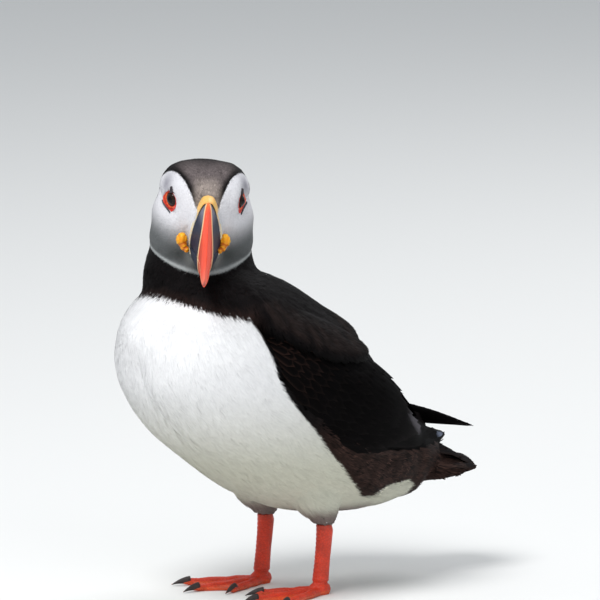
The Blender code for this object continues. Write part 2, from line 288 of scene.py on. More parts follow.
def mixed(tree, kind, share, a, b):
    """A mix of two colours."""
    node = add(tree, "Mix", data_type="RGBA", blend_type=kind)
    feed(tree, (node.inputs[0], node.inputs[6], node.inputs[7]), (share, a, b))
    return node.outputs[2]


def product(tree, a, b, more=0.0, clamp=False):
    """One value times another, plus a third."""
    node = add(tree, "Math", operation="MULTIPLY_ADD", use_clamp=clamp)
    feed(tree, node.inputs, (a, b, more))
    return node.outputs[0]


def spread_value(tree, value, low, high, full=1.0):
    """Carries a value of 0 to full to low and high."""
    node = add(tree, "MapRange", From_Max=full, To_Min=low, To_Max=high)
    tree.links.new(value, node.inputs["Value"])
    return node.outputs["Result"]


def patterned(group, kind, output, **settings):
    """A pattern that keeps its size on every piece, read as one value."""
    node = add(group, kind, **settings)
    group.links.new(add(group, "TexCoord").outputs["Object"], node.inputs["Vector"])
    return node, node.outputs[output]


def down_group():
    """Soft, fine variation of feathers: colour, roughness and height."""
    group, ins = node_group("Down", Tint=(0.8, 0.8, 0.8, 1), Scale=900.0, Contrast=0.2)
    node, fine = patterned(group, "TexNoise", "Fac", detail=4.0, roughness=0.6)
    group.links.new(ins["Scale"], node.inputs["Scale"])
    _, broad = patterned(group, "TexNoise", "Fac", scale=70.0, detail=2.0)
    dark = mixed(group, "MULTIPLY", 1.0, ins["Tint"], (0.62, 0.6, 0.6, 1))
    first = mixed(group, "MIX", product(group, fine, ins["Contrast"]), ins["Tint"], dark)
    second = mixed(group, "MIX", product(group, broad, ins["Contrast"]), first, dark)
    return give(group, second, spread_value(group, broad, 0.55, 0.8), fine)


def horn_group():
    """Growth lines and small scratches of horn: colour, roughness and height."""
    group, ins = node_group("Horn", Tint=(0.8, 0.2, 0.1, 1), Wear=0.25, Polish=0.3)
    _, grain = patterned(group, "TexNoise", "Fac", scale=420.0, detail=5.0, roughness=0.65)
    _, cloud = patterned(group, "TexNoise", "Fac", scale=130.0, detail=3.0)
    pale = mixed(group, "SCREEN", 1.0, ins["Tint"], (0.16, 0.13, 0.11, 1))
    dull = mixed(group, "MULTIPLY", 1.0, ins["Tint"], (0.55, 0.5, 0.5, 1))
    worn = product(group, spread_value(group, cloud, -0.6, 1.4), ins["Wear"], clamp=True)
    spots = product(group, spread_value(group, grain, -1.0, 1.6), ins["Wear"], clamp=True)
    first = mixed(group, "MIX", worn, ins["Tint"], dull)
    second = mixed(group, "MIX", spots, first, pale)
    return give(group, second, product(group, grain, 0.22, ins["Polish"]), grain)


def scaly_group():
    """Small scales of bare skin: colour, roughness and height."""
    group, ins = node_group("Scaly", Tint=(0.8, 0.2, 0.05, 1), Scale=900.0, Cracks=0.6, Dirt=0.3)
    node, edge = patterned(group, "TexVoronoi", "Distance", feature="DISTANCE_TO_EDGE")
    group.links.new(ins["Scale"], node.inputs["Scale"])
    _, blotch = patterned(group, "TexNoise", "Fac", scale=160.0, detail=3.0)
    scale = spread_value(group, edge, 0.0, 1.0, full=0.16)
    gap = product(group, scale, -1.0, 1.0)
    dark = mixed(group, "MULTIPLY", 1.0, ins["Tint"], (0.45, 0.33, 0.3, 1))
    first = mixed(group, "MIX", product(group, gap, ins["Cracks"]), ins["Tint"], dark)
    dirt = product(group, spread_value(group, blotch, -0.4, 1.4), ins["Dirt"], clamp=True)
    second = mixed(group, "MIX", dirt, first, dark)
    return give(group, second, spread_value(group, blotch, 0.35, 0.6), scale)


GROUPS = {"Down": down_group, "Horn": horn_group, "Scaly": scaly_group}


def new_material(name, **values):
    """A plain material and its shader, whose sockets are set by name."""
    made = bpy.data.materials.new(name)
    made.use_nodes = True
    shader = made.node_tree.nodes["Principled BSDF"]
    for label, value in values.items():
        shader.inputs[label.replace("_", " ")].default_value = value
    return made, shader


def material(name, group, values, relief, depth, **shader_values):
    """A material whose colour is the tint attribute, varied by one of the shared groups."""
    made = bpy.data.materials.get(name)
    if made:
        return made
    made, shader = new_material(name, **shader_values)
    tree = made.node_tree
    shared = tree.nodes.new("ShaderNodeGroup")
    shared.node_tree = bpy.data.node_groups.get(group) or GROUPS[group]()
    for label, value in values.items():
        shared.inputs[label].default_value = value
    tint = add(tree, "Attribute", attribute_name="tint")
    tree.links.new(tint.outputs["Color"], shared.inputs["Tint"])
    tree.links.new(shared.outputs["Color"], shader.inputs["Base Color"])
    tree.links.new(shared.outputs["Roughness"], shader.inputs["Roughness"])
    raised = add(tree, "Bump", strength=relief, distance=depth)
    tree.links.new(shared.outputs["Height"], raised.inputs["Height"])
    tree.links.new(raised.outputs["Normal"], shader.inputs["Normal"])
    return made


def skin_material():
    return material(
        "Feathered skin", "Down", {"Scale": 1400.0, "Contrast": 0.4}, 0.4, 0.0003,
        Specular_IOR_Level=0.05,
    )


def plumage_material():
    return material(
        "Soft plumage", "Down", {"Scale": 700.0, "Contrast": 0.1}, 0.08, 0.0002,
        Specular_IOR_Level=0.06, Sheen_Weight=0.01, Sheen_Roughness=0.4,
    )


def quill_material():
    return material(
        "Firm plumage", "Down", {"Scale": 500.0, "Contrast": 0.25}, 0.15, 0.0002,
        Specular_IOR_Level=0.03,
    )


def horn_material():
    return material(
        "Bill horn", "Horn", {"Wear": 0.16, "Polish": 0.38}, 0.25, 0.0002,
        Specular_IOR_Level=0.28,
    )


def fleshy_material():
    return material(
        "Fleshy skin", "Scaly", {"Scale": 2300.0, "Cracks": 0.12, "Dirt": 0.12}, 0.12, 0.0001,
        Subsurface_Weight=0.15, Subsurface_Scale=0.002, Specular_IOR_Level=0.35,
    )


def leg_material():
    return material(
        "Leg skin", "Scaly", {"Scale": 850.0, "Cracks": 0.5, "Dirt": 0.3}, 0.5, 0.0003,
        Subsurface_Weight=0.1, Subsurface_Scale=0.001,
    )


def eye_material():
    return material(
        "Eye", "Horn", {"Wear": 0.0, "Polish": 0.0}, 0.0, 0.0001,
        IOR=1.33, Specular_IOR_Level=0.25, Coat_Weight=0.35, Coat_Roughness=0.05, Coat_IOR=1.3,
    )


# ---------------------------------------------------------------- markings

# Lower edge of the dark plumage on the bird's side: forward and up, breast to tail.
DARK_EDGE = (
    (140, 144.5),
    (60, 144.5),
    (54, 144),
    (51, 137),
    (48.6, 128),
    (46.2, 120.5),
    (43.5, 111),
    (38.2, 102.3),
    (32, 94.5),
    (22.5, 84.9),
    (9.5, 70.5),
    (-7.4, 55),
    (-19, 45.5),
    (-27, 45),
    (-33, 49.6),
    (-49, 50.5),
    (-54, 47),
    (-58, 20),
)

# Lower edge of the shoulder feathers that hang over the wing: forward and up.
FOLD_EDGE = (
    (60, 138),
    (47.5, 136),
    (45, 130.5),
    (35, 126),
    (23, 119.8),
    (11, 116),
    (-2, 113.8),
    (-12, 113.2),
    (-17, 117),
    (-19.5, 135),
)

WHITE = srgb(250, 250, 251)
# Painted shade, tinged by bounced light, on the lower breast and belly.
BELLY_SHADE = srgb(200, 200, 184)
BLACK = srgb(15, 12, 13)
BROWN = srgb(52, 36, 31)
FACE = srgb(226, 225, 229)
# Painted shade of the lower, outer cheeks, which turn away from the light.
CHEEK_SHADE = srgb(78, 82, 82)
CROWN = srgb(103, 94, 94)


def edge_distance(forward, up, line):
    """Distance from a line of places, positive above it, where the line runs from front to back."""
    best = np.full(forward.shape, 1e9)
    sign = np.ones(forward.shape)
    for (f0, u0), (f1, u1) in zip(line, line[1:]):
        run = np.array((f1 - f0, u1 - u0))
        t = np.clip(((forward - f0) * run[0] + (up - u0) * run[1]) / (run @ run), 0, 1)
        apart_f, apart_u = forward - f0 - t * run[0], up - u0 - t * run[1]
        away = np.hypot(apart_f, apart_u)
        side = run[1] * (forward - f0) - run[0] * (up - u0)
        closer = away < best
        best = np.where(closer, away, best)
        sign = np.where(closer, np.sign(side), sign)
    return best * sign


def darkness(points):
    """Millimetres inside the dark plumage of the body; negative in the white."""
    forward, left, up = body_place(points)
    front = ease(45, 56, forward)
    return edge_distance(forward, up + 0.005 * left**2 * front, DARK_EDGE)


FACE_ROUNDING = 1.6  # how softly the borders of the face meet, in millimetres


def above_fold(points):
    """Millimetres above the lower edge of the shoulder feathers."""
    forward, _, up = body_place(points)
    return edge_distance(forward, up, FOLD_EDGE)


def faceness(points):
    """Millimetres inside the pale face; negative in the dark crown, nape and neck."""
    forward, left, up = head_place(points)
    side = np.abs(left)
    crown = (side + 0.59 * forward - 17.1) / 1.16 + 0.06 * np.maximum(-2.5 - up, 0) ** 2
    nape = forward + 11.5 - 0.45 * np.maximum(-15 - up, 0)
    throat = up + 30.3 - 0.010 * side**2
    sides = np.stack([crown, nape, throat])
    least = sides.min(0)
    rounding = np.exp(-(sides - least) / FACE_ROUNDING).sum(0)
    return least - FACE_ROUNDING * np.log(rounding)


def face_colour(points):
    """Colour inside the pale face, with painted shade on the lower cheeks and above and behind the
    eyes, and a painted highlight along the chin's edge.
    """
    _, left, up = head_place(points)
    side = np.abs(left)
    # Painted shade: the face greys downwards and outwards.
    colour = mix_colour(FACE, CHEEK_SHADE, 0.92 * ease(3, 20, 0.35 * (side - 15) - up))
    # Painted shade, deepest low on the outer cheek.
    deep_shade = bump(up, -22, 4.5) * bump(side, 11, 6)
    colour = mix_colour(colour, srgb(64, 68, 66), 0.6 * deep_shade)
    beside_bill = bump(up, -22, 4.5) * bump(side, 6, 2.4)
    colour = mix_colour(colour, srgb(168, 168, 164), 0.75 * beside_bill)
    # Painted highlight along the lower edge of the face, where the chin overhangs the dark neck.
    rim = bump(faceness(points), 0.9, 0.8) * ease(-12, -22, up)
    colour = mix_colour(colour, srgb(190, 194, 194), 0.8 * rim)
    for eye in EYES.values():
        rear, above, out = eye.local(points)
        # Painted shade above and behind each eye, under the brow.
        brow = bump(rear, 3.6, 4.2) * bump(above, 7, 4.6) * ease(-9, -5, out)
        colour = mix_colour(colour, srgb(132, 130, 142), 0.75 * brow)
    return colour


def crown_colour(points):
    """Colour of the cap, palest over the forehead."""
    forward, left, up = head_place(points)
    pale = ease(-16, 8, forward) * ease(17, 8, np.abs(left)) * ease(0, 10, up)
    pale = pale * ease(-0.3, -3.6, faceness(points))
    forehead = ease(7, 17, forward) * ease(8, 3, np.abs(left))
    return mix_colour(mix_colour(BLACK, CROWN, 0.9 * pale), srgb(160, 148, 140), 0.8 * forehead)


def back_colour(points):
    """Colour of the dark plumage of neck, back and flanks, with a painted sheen on the shoulder
    fold and painted shade in the groove under it.
    """
    forward, left, up = body_place(points)
    rearward = ease(-20, -70, forward)
    flank = ease(mix(96, 70, rearward), mix(74, 57, rearward), up)
    flank = flank * ease(30, 10, forward) * ease(6, 10, np.abs(left))
    colour = mix_colour(BLACK, bpy.context.scene.puffin.brown, 0.75 * flank)
    fray = ease(5, 0.5, darkness(points)) * ease(125, 138, up)
    colour = mix_colour(colour, BROWN, 0.5 * fray)
    above = above_fold(points)
    along = ease(54, 44, forward) * ease(-24, -8, forward)
    sheen = ease(1, 5, above) * ease(19, 9, above) * along
    streaks = 0.6 + 0.4 * ripple(points / MM, 7.0, 3)
    colour = mix_colour(colour, srgb(50, 40, 37), 0.6 * sheen * streaks)
    # Painted shade in the groove under the shoulder fold.
    return colour * (1 - 0.7 * bump(above, -1.2, 1.8) * along)[..., None]


def marked(points, soft=0.5):
    """Colour of the plumage at places in metres; soft is half the width of a border."""
    up, head_up = body_place(points)[2], head_place(points)[2]
    # Painted shade towards the belly.
    white = mix_colour(bpy.context.scene.puffin.white, BELLY_SHADE, ease(112, 58, up))
    body = mix_colour(white, back_colour(points), ease(-soft, soft, darkness(points)))
    cap = mix_colour(BLACK, crown_colour(points), ease(-14, -6, head_up))
    head = mix_colour(cap, face_colour(points), ease(-soft, soft, faceness(points)))
    return mix_colour(body, head, ease(-34, -30, head_up))


# ---------------------------------------------------------------- the skin

# How far the skin lies under the tips of the feathers, in millimetres.
COAT_DEPTH = {"breast": 2.2, "back": 1.7, "head": 0.5, "thigh": 1.3, "tail": 0.35}


def coat_depth(points):
    """How far the skin lies under the tips of the feathers at each place, in millimetres."""
    forward, _, up = body_place(points)
    depth = mix(COAT_DEPTH["breast"], COAT_DEPTH["back"], ease(-2, 4, darkness(points)))
    depth = mix(depth, COAT_DEPTH["head"], ease(-56, -28, head_place(points)[2]))
    depth = mix(depth, COAT_DEPTH["thigh"], ease(45, 38, up) * ease(36, 30, np.abs(forward)))
    return mix(depth, COAT_DEPTH["tail"], ease(-52, -62, forward))


def fold_push(points):
    """How far the shoulder fold stands out and the groove under it sinks, in millimetres."""
    forward, left, _ = body_place(points)
    above = above_fold(points)
    along = ease(56, 46, forward) * ease(-30, -16, forward) * ease(14, 24, np.abs(left))
    swell = 2.8 * ease(-0.8, 1.4, above) * ease(26, 5, above)
    return (swell - 3.2 * bump(above, -2.4, 2.2)) * along


def crease_push(points):
    """The shallow parting down the middle of the breast."""
    forward, left, up = body_place(points)
    line = 3.0 + 0.36 * np.maximum(108 - up, 0) ** 0.95
    close = bump(left, line, 2.2)
    return -1.1 * close * ease(128, 112, up) * ease(66, 84, up) * ease(55, 70, forward)


# How far each eye's opening turns out from straight ahead, in degrees.
EYE_FACING = {"left": 68.0, "right": 52.0}
EYE_RADIUS = 3.9
EYE_OPENING = 3.15  # radius of the eye that shows
EYE_RIM = 2.45  # height of the lids above the middle of the eyeball


class EyeFrame:
    """Places round one eye: behind it, above it and out of the head, in millimetres."""

    def __init__(self, name):
        side = SIDES[name]
        self.centre = middle(f"eye_{name}")
        facing = math.radians(EYE_FACING[name])
        out = unit(HEAD_AXES @ np.array((math.sin(facing) * side, -math.cos(facing), 0)))
        up = unit(np.array((0, 0, 1.0)) - out * out[2])
        rear = np.cross(up, out) * side
        self.axes = np.array((rear, up, out))

    def local(self, points):
        own = (points - self.centre) @ self.axes.T / MM
        return own[..., 0], own[..., 1], own[..., 2]

    def place(self, rear, up, out):
        rear, up, out = np.broadcast_arrays(rear, up, out)
        return self.centre + np.stack([rear, up, out], -1) * MM @ self.axes


EYES = {name: EyeFrame(name) for name in SIDES}


def seat_eyes(points):
    """Lets the skin run level round each eye and sink under the eyeball."""
    for eye in EYES.values():
        rear, up, out = eye.local(points)
        away = np.hypot(rear, up)
        near = (out > -3) & (away < 9)
        level = EYE_RIM - 0.3 - 0.03 * np.maximum(away - 4, 0) ** 2
        sunk = np.minimum(out, 1.2)
        target = np.where(away < EYE_OPENING + 0.2, sunk, mix(level, out, ease(4.6, 8.5, away)))
        moved = np.where(near, target, out)
        points = points + ((moved - out) * MM)[..., None] * eye.axes[2]
    return points


def brow_push(points):
    """The furrow that runs back from each eye, between the brow and the cheek."""
    total = np.zeros(points.shape[:-1])
    for eye in EYES.values():
        rear, up, out = eye.local(points)
        rise = up - (-1.0 + 0.42 * (rear - 5.5))
        along = ease(5, 8, rear) * ease(17, 10, rear) * ease(-9, -5, out)
        furrow, brow, cheek = bump(rise, 0, 1.7), bump(rise, 4.5, 3.0), bump(rise, -5.5, 3.5)
        total += (0.5 * brow + 0.4 * cheek - 1.3 * furrow) * along
    return total


def remeshed(name, nodes, voxel, grow, rounds):
    """One closed mesh over several solids, whose thin gaps are closed."""
    bm = bmesh.new()
    for node in nodes:
        part = bmesh.new()
        part.from_mesh(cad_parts[node].data)
        bmesh.ops.remove_doubles(part, verts=part.verts, dist=1e-6)
        part.normal_update()
        for vert in part.verts:
            vert.co += vert.normal * grow * MM
        poured(bm, part)
    return melted(name, bm, voxel, rounds)


def melted(name, bm, voxel, rounds):
    """One closed skin over all that a bmesh holds, smoothed by some rounds."""
    mesh = bpy.data.meshes.new(name)
    bm.to_mesh(mesh)
    bm.free()
    draft = bpy.data.objects.new(name + "_draft", mesh)
    bpy.context.scene.collection.objects.link(draft)
    melt = draft.modifiers.new("melt", "REMESH")
    melt.mode = "VOXEL"
    melt.voxel_size = voxel * MM
    calm = draft.modifiers.new("calm", "SMOOTH")
    calm.factor = 0.5
    calm.iterations = rounds
    bpy.context.view_layer.update()
    graph = bpy.context.evaluated_depsgraph_get()
    made = bpy.data.meshes.new_from_object(draft.evaluated_get(graph))
    made.name = name
    bpy.data.objects.remove(draft)
    bpy.data.meshes.remove(mesh)
    return made


# A cell's own place and its neighbours', in steps each way.
AROUND = tuple(itertools.product((-1, 0, 1), repeat=3))


class Surface:
    """A mesh that feathers are laid on."""

    def __init__(self, mesh):
        mesh.calc_loop_triangles()
        self.points = values_of(mesh, "co")
        normals = values_of(mesh, "normal")
        self.triangles = np.empty(len(mesh.loop_triangles) * 3, np.int32)
        mesh.loop_triangles.foreach_get("vertices", self.triangles)
        self.triangles = self.triangles.reshape(-1, 3)
        self.normals = unit(normals[self.triangles].mean(axis=1))
        self.tree = BVHTree.FromPolygons(self.points.tolist(), self.triangles.tolist())
        corners = self.points[self.triangles]
        cross = np.cross(corners[:, 1] - corners[:, 0], corners[:, 2] - corners[:, 0])
        self.areas = np.linalg.norm(cross, axis=1) / 2
        self.middles = corners.mean(axis=1)

    def nearest(self, points):
        """The closest places on the surface and the normals there."""
        flat = points.reshape(-1, 3)
        places = np.empty_like(flat)
        normals = np.empty_like(flat)
        for i, point in enumerate(flat):
            place, _, face, _ = self.tree.find_nearest(point)
            places[i] = place
            normals[i] = self.normals[face]
        return places.reshape(points.shape), normals.reshape(points.shape)

    def scatter(self, gap, wanted, seed):
        """Places at least a gap apart, in millimetres, on the faces that are wanted."""
        rng = np.random.default_rng(seed)
        share = self.areas * wanted(self.middles)
        count = int(share.sum() / (gap * MM) ** 2 * 3.2)
        picked = rng.choice(len(share), count, p=share / share.sum())
        a, b = rng.random((2, count))
        over = a + b > 1
        a, b = np.where(over, 1 - a, a), np.where(over, 1 - b, b)
        corners = self.points[self.triangles[picked]]
        spots = (
            corners[:, 0]
            + a[:, None] * (corners[:, 1] - corners[:, 0])
            + b[:, None] * (corners[:, 2] - corners[:, 0])
        )
        chosen = thinned(spots / MM, gap)
        return spots[chosen], self.normals[picked[chosen]]


def thinned(spots, gap):
    """Indices of spots, in order, that keep a gap from every one kept before."""
    least = gap * gap * 0.8
    taken, chosen = {}, []
    cells = np.floor(spots / gap).astype(int).tolist()
    for i, ((a, b, c), (x, y, z)) in enumerate(zip(cells, spots.tolist())):
        crowd = itertools.chain.from_iterable(
            taken.get((a + da, b + db, c + dc), ()) for da, db, dc in AROUND
        )
        if all((x - u) ** 2 + (y - v) ** 2 + (z - w) ** 2 >= least for u, v, w in crowd):
            taken.setdefault((a, b, c), []).append((x, y, z))
            chosen.append(i)
    return np.array(chosen)


MADE = {}  # surfaces that later pieces are laid on
UNDER_TUFTS = 0.2  # how much deeper than the coat the skin lies, in millimetres


def beside_rosette(points):
    """From 0 to 1, how near a place is to the middle of a rosette."""
    near = [np.linalg.norm(points - middle(f"rosette_{name}"), axis=-1) / MM for name in SIDES]
    return ease(6.5, 3.5, np.minimum(*near))


class PUFFIN_OT_skin(bpy.types.Operator):
    """Makes the skin that lies under the feathers"""

    bl_idname = "puffin.skin"
    bl_label = "Skin"

    def execute(self, context):
        nodes = FLESH + ("cere", "eye_left", "eye_right", "rosette_left", "rosette_right")
        mesh = remeshed("skin", nodes, voxel=1.15, grow=0.3, rounds=3)
        points, normals = values_of(mesh, "co"), values_of(mesh, "normal")
        along, side, rise = bill_place(points)
        by_ridge = ease(-6.5, -4.5, along) * ease(15, 18, rise) * ease(5.4, 4.0, np.abs(side))
        push = fold_push(points) + crease_push(points) + brow_push(points) - coat_depth(points)
        push = push - UNDER_TUFTS - 1.6 * beside_rosette(points) - 1.2 * by_ridge
        points = seat_eyes(points + normals * (push * MM)[:, None])
        set_points(mesh, points)
        colours = marked(points, 0.8)
        # Painted shade: the skin under the wing's feathers is darker than their black.
        colours[wing_area(points, 1.2, 3.4)] = BLACK * 0.5
        shade = mix(0.85, 0.97, ease(-36, -30, head_place(points)[2]))
        set_tint(mesh, colours * shade[:, None])
        skin = finished("skin", mesh, skin_material())
        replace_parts(skin, *FLESH)
        MADE["skin"] = Surface(mesh)
        return {"FINISHED"}


# ---------------------------------------------------------------- the lie of the feathers

# Places down the middle of the bird from skull to tail: forward, left, up.
SPINE = (
    (52, 0, 192),
    (50, -4, 168),
    (56, -3, 148),
    (50, 0, 128),
    (28, 0, 110),
    (-2, 0, 90),
    (-42, 0, 68),
    (-105, 0, 50),
)
SPINE_REACH = 21.0  # how far to the side a stretch of the spine leads the feathers
FACE_FAN = (20.5, 0.0, -10.0)  # where the feathers of the face fan out from


def lie(points, normals):
    """The way that the tips of the feathers point at each place."""
    spine = on_body(*np.array(SPINE, float).T)
    ways = unit(np.diff(spine, axis=0))
    halves = (spine[1:] + spine[:-1]) / 2
    apart = ((points[..., None, :] - halves) ** 2).sum(-1) / MM**2
    share = np.exp(-(apart - apart.min(-1, keepdims=True)) / (2 * SPINE_REACH**2))
    down = unit((share[..., None] * ways).sum(-2))
    fan = unit(points - on_head(*FACE_FAN))
    forward, _, up = head_place(points)
    way = mix(down, fan, (ease(-24, -8, forward) * ease(-36, -27, up))[..., None])
    return unit(way - normals * (way * normals).sum(-1, keepdims=True))


def turned(ways, normals, angles):
    """Directions turned about the normals, by angles in radians."""
    across = np.cross(normals, ways)
    return ways * np.cos(angles)[..., None] + across * np.sin(angles)[..., None]


def laid(surface, roots, normals, lengths, rng, steps=3, waver=0.12, swirl=0.16):
    """Walks from each root along the lie of the feathers, keeping to the surface."""
    count = len(roots)
    angle = rng.normal(0, waver, count) + swirl * ripple(roots / MM, 24.0, 11)
    places, ups, ways = [roots], [normals], [turned(lie(roots, normals), normals, angle)]
    # A feather stays short where the surface under it bends away.
    _, ahead = surface.nearest(roots + ways[0] * (lengths * MM)[:, None])
    lengths = lengths * mix(0.3, 1.0, ease(0.35, 0.85, (ahead * normals).sum(-1)))
    for _ in range(steps):
        goal = places[-1] + ways[-1] * (lengths * MM / steps)[:, None]
        place, up = surface.nearest(goal)
        way = turned(lie(place, up), up, angle)
        places.append(place)
        ups.append(up)
        ways.append(way)
    return np.stack(places, 1), np.stack(ups, 1), np.stack(ways, 1)


def kept(values, which):
    """The same picks from each of several arrays."""
    return tuple(array[which] for array in values)


def read_rows(rows, at):
    """Values between the rows of a walk; at runs from 0 to 1."""
    last = rows.shape[1] - 1
    low = np.minimum((at * last).astype(int), last - 1)
    share = (at * last - low)[..., None]
    picks = np.arange(len(rows)).reshape((-1,) + (1,) * (at.ndim - 1))
    return rows[picks, low] * (1 - share) + rows[picks, low + 1] * share


def lambert(directions):
    """Equal-area places in a square for directions from a middle."""
    scale = np.sqrt(1 / np.maximum(1 + directions[..., 2], 0.01) / 2)
    return 0.5 + 0.49 * directions[..., :2] * scale[..., None]


def unwrapped(points):
    """The skin's unwrap: the head and the body, each rolled out from its own middle."""
    forward, left, head_up = head_place(points)
    head_uv = lambert(unit(np.stack([forward, left, head_up + 8], -1)))
    forward, left, up = body_place(points)
    forward, up = forward - 5, up - 84
    along, rise = 0.79 * forward + 0.61 * up, 0.79 * up - 0.61 * forward
    body_uv = lambert(unit(np.stack([rise, left, along / 2.1], -1)))
    return np.where((head_up > -31)[..., None], head_uv, body_uv)


PATCH = 0.003  # how wide a feather's patch is on the bake map


def mesh_of_strips(name, corners, faces, loops_of, normals, colours, places, in_patch):
    """A joined mesh of many small strips, with tint, soft normals and a bake map."""
    mesh = bpy.data.meshes.new(name)
    mesh.vertices.add(len(corners))
    mesh.vertices.foreach_set("co", corners.astype(np.float32).ravel())
    mesh.loops.add(len(faces))
    mesh.loops.foreach_set("vertex_index", faces.astype(np.int32))
    starts = np.concatenate([[0], np.cumsum(loops_of)[:-1]]).astype(np.int32)
    mesh.polygons.add(len(loops_of))
    mesh.polygons.foreach_set("loop_start", starts)
    mesh.update(calc_edges=True)
    mesh.shade_smooth()
    set_tint(mesh, colours)
    uv = mesh.uv_layers.new(name="OFBake")
    low, high = places.min(0), places.max(0)
    spots = 0.01 + 0.98 * (places - low) / np.maximum(high - low, 1e-9)
    spots = np.clip(spots + PATCH * (in_patch - 0.5), 0.001, 0.999)
    uv.data.foreach_set("uv", spots[faces].astype(np.float32).ravel())
    mesh.normals_split_custom_set_from_vertices(normals.astype(np.float32))
    return mesh


# Rows of a blade's corners from root to tip: how far along, and the share of its full width.
BLADE_ROWS = {
    3: ((0.0, 0.7), (0.36, 1.0), (0.72, 0.72), (1.0, 0.0)),
    2: ((0.0, 0.8), (0.55, 1.0), (1.0, 0.0)),
}
MOST_TRIANGLES = 190000  # in one piece


def tufted(name, walk, size, rng, paint, rows=3):
    """Tufts of narrow blades over a walk; size holds values for all tufts or one for each.

    blades is their number, width each one's, root and tip how wide they fan, bend how far a blade
    strays, fray how far its colour does, depth how high the tip lies, sunk the share of that at the
    root, uneven how much it varies, ply the height between blades, tone how much the shade varies,
    soft and round how the light falls."""
    places, ups, ways = walk
    count, blades = len(places), size["blades"]
    shape = (count, blades)
    size = {key: np.broadcast_to(value, count)[:, None] for key, value in size.items()}
    spot = np.linspace(-1, 1, blades) + rng.normal(0, 0.12, shape)
    order = rng.random(shape)
    long = 1 - 0.22 * spot**2 - 0.3 * rng.random(shape)
    bend = size["bend"] * rng.normal(0, 1, shape)
    tilt = size["soft"] * rng.normal(0, 1, shape)
    fray = size["fray"] * rng.normal(0, 1, shape)
    depth = size["depth"] * (1 + size["uneven"] * rng.uniform(-1, 0.4, shape))
    wide = size["width"] * rng.uniform(0.75, 1.2, shape)
    tuft_tone = 1 + size["tone"] * rng.normal(0, 1, (count, 1))
    tones = tuft_tone * (1 + 0.8 * size["tone"] * rng.normal(0, 1, shape))
    corners, normals, tints, patches, roots = [], [], [], [], []
    for t, width_share in BLADE_ROWS[rows]:
        reach = np.clip(t * long, 0, 1)
        base = read_rows(places, reach)
        up = unit(read_rows(ups, reach))
        way = unit(read_rows(ways, reach))
        side = np.cross(up, way)
        off = spot * (size["root"] * (1 - t) + size["tip"] * t) / 2 + bend * t * t
        lift = depth * mix(size["sunk"], 1.0, ease(0, 0.55, reach)) + size["ply"] * order
        shaft = base + side * (off * MM)[..., None] + up * (lift * MM)[..., None]
        normal = unit(up + side * (tilt + 0.18 * spot)[..., None] + way * 0.12)
        # Painted shade towards each blade's root, under the blades that lie over it.
        tone = (tones * mix(0.85, 1.04, t))[..., None]
        colour = paint(shaft + way * (fray * MM)[..., None]) * tone
        for edge in (-0.5 * width_share, 0.5 * width_share) if width_share else (0.0,):
            corners.append(shaft + side * (edge * wide * MM)[..., None])
            normals.append(unit(normal + side * (size["round"][..., None] * np.sign(edge))))
            tints.append(colour)
            patches.append(np.stack([(spot + 1) / 2 + edge * 0.1, np.full(shape, t)], -1))
            roots.append(np.broadcast_to(places[:, None, 0], shaft.shape))
    per = len(corners)
    corners, normals, tints, patches, roots = (
        np.stack(layer, 2).reshape(-1, layer[0].shape[-1])
        for layer in (corners, normals, tints, patches, roots)
    )
    quads = [(2 * k + 1, 2 * k, 2 * k + 2, 2 * k + 3) for k in range(rows - 1)]
    pattern = [i for quad in quads for i in quad] + [2 * rows - 1, 2 * rows - 2, 2 * rows]
    loops_of = np.tile([4] * (rows - 1) + [3], count * blades)
    faces = (np.arange(count * blades)[:, None] * per + np.array(pattern)).ravel()
    mesh = mesh_of_strips(
        name, corners, faces, loops_of, normals, tints, unwrapped(roots), np.clip(patches, 0, 1)
    )
    return finished(name, mesh, plumage_material(), smooth=False)


def in_lots(name, walk, size, rng, paint, order, rows=3):
    """Tufts in as many pieces as keep each one under the most triangles."""
    most = MOST_TRIANGLES // (size["blades"] * (2 * rows - 1))
    ranked = np.argsort(order, kind="stable")
    lots = np.array_split(ranked, max(1, math.ceil(len(ranked) / most)))
    for number, lot in enumerate(lots, 1):
        own = {
            key: value[lot] if isinstance(value, np.ndarray) else value
            for key, value in size.items()
        }
        label = name if len(lots) == 1 else f"{name}_{number}"
        tufted(label, kept(walk, lot), own, rng, paint, rows)


# ---------------------------------------------------------------- wings and tail

# Folded wing, wrist to tip: forward, left, up, pitch, lean, half height, half thickness.
WING_SECTIONS = (
    (50, 33, 134, 38, 14, 5, 1.5),
    (44, 37, 130, 38, 14, 13, 4),
    (30, 42, 121, 38, 12, 21, 5.5),
    (8, 45, 104, 36, 10, 25, 6),
    (-16, 43, 89, 32, 12, 22, 5.5),
    (-40, 33, 78, 26, 18, 15, 4.5),
)
TIP_SECTIONS = {
    "left": (
        (-60, 19, 70, 16, 40, 9, 3),
        (-80, 5, 66, 6, 60, 6, 2),
        (-94, -6, 64, 4, 70, 3, 0.8),
    ),
    "right": (
        (-60, 17, 78, 20, 36, 9, 3),
        (-80, 0, 73, 14, 46, 6, 1.8),
        (-98, -11, 69, 10, 60, 2, 0.7),
    ),
}
WING_WRAP = 48.0  # radius that a wing's height bends to, round the body
# Tail, root to tip: forward, up, half width, half thickness.
TAIL_SECTIONS = (
    (-58, 56, 14, 10),
    (-72, 54, 20, 8),
    (-86, 54, 21, 3.5),
    (-95, 53.5, 17, 1.5),
    (-100, 53, 8, 0.7),
)


def smooth_read(rows, at):
    """Rows read at places 0 to 1 from a smooth curve through the given ones."""
    rows = np.array(rows, float)
    padded = np.vstack([2 * rows[0] - rows[1], rows, 2 * rows[-1] - rows[-2]])
    place = np.clip(at, 0, 1) * (len(rows) - 1)
    low = np.minimum(place.astype(int), len(rows) - 2)
    t = (place - low)[..., None]
    a, b, c, d = (padded[low + i] for i in range(4))
    return b + 0.5 * t * (c - a + t * (2 * a - 5 * b + 4 * c - d + t * (3 * (b - c) + d - a)))


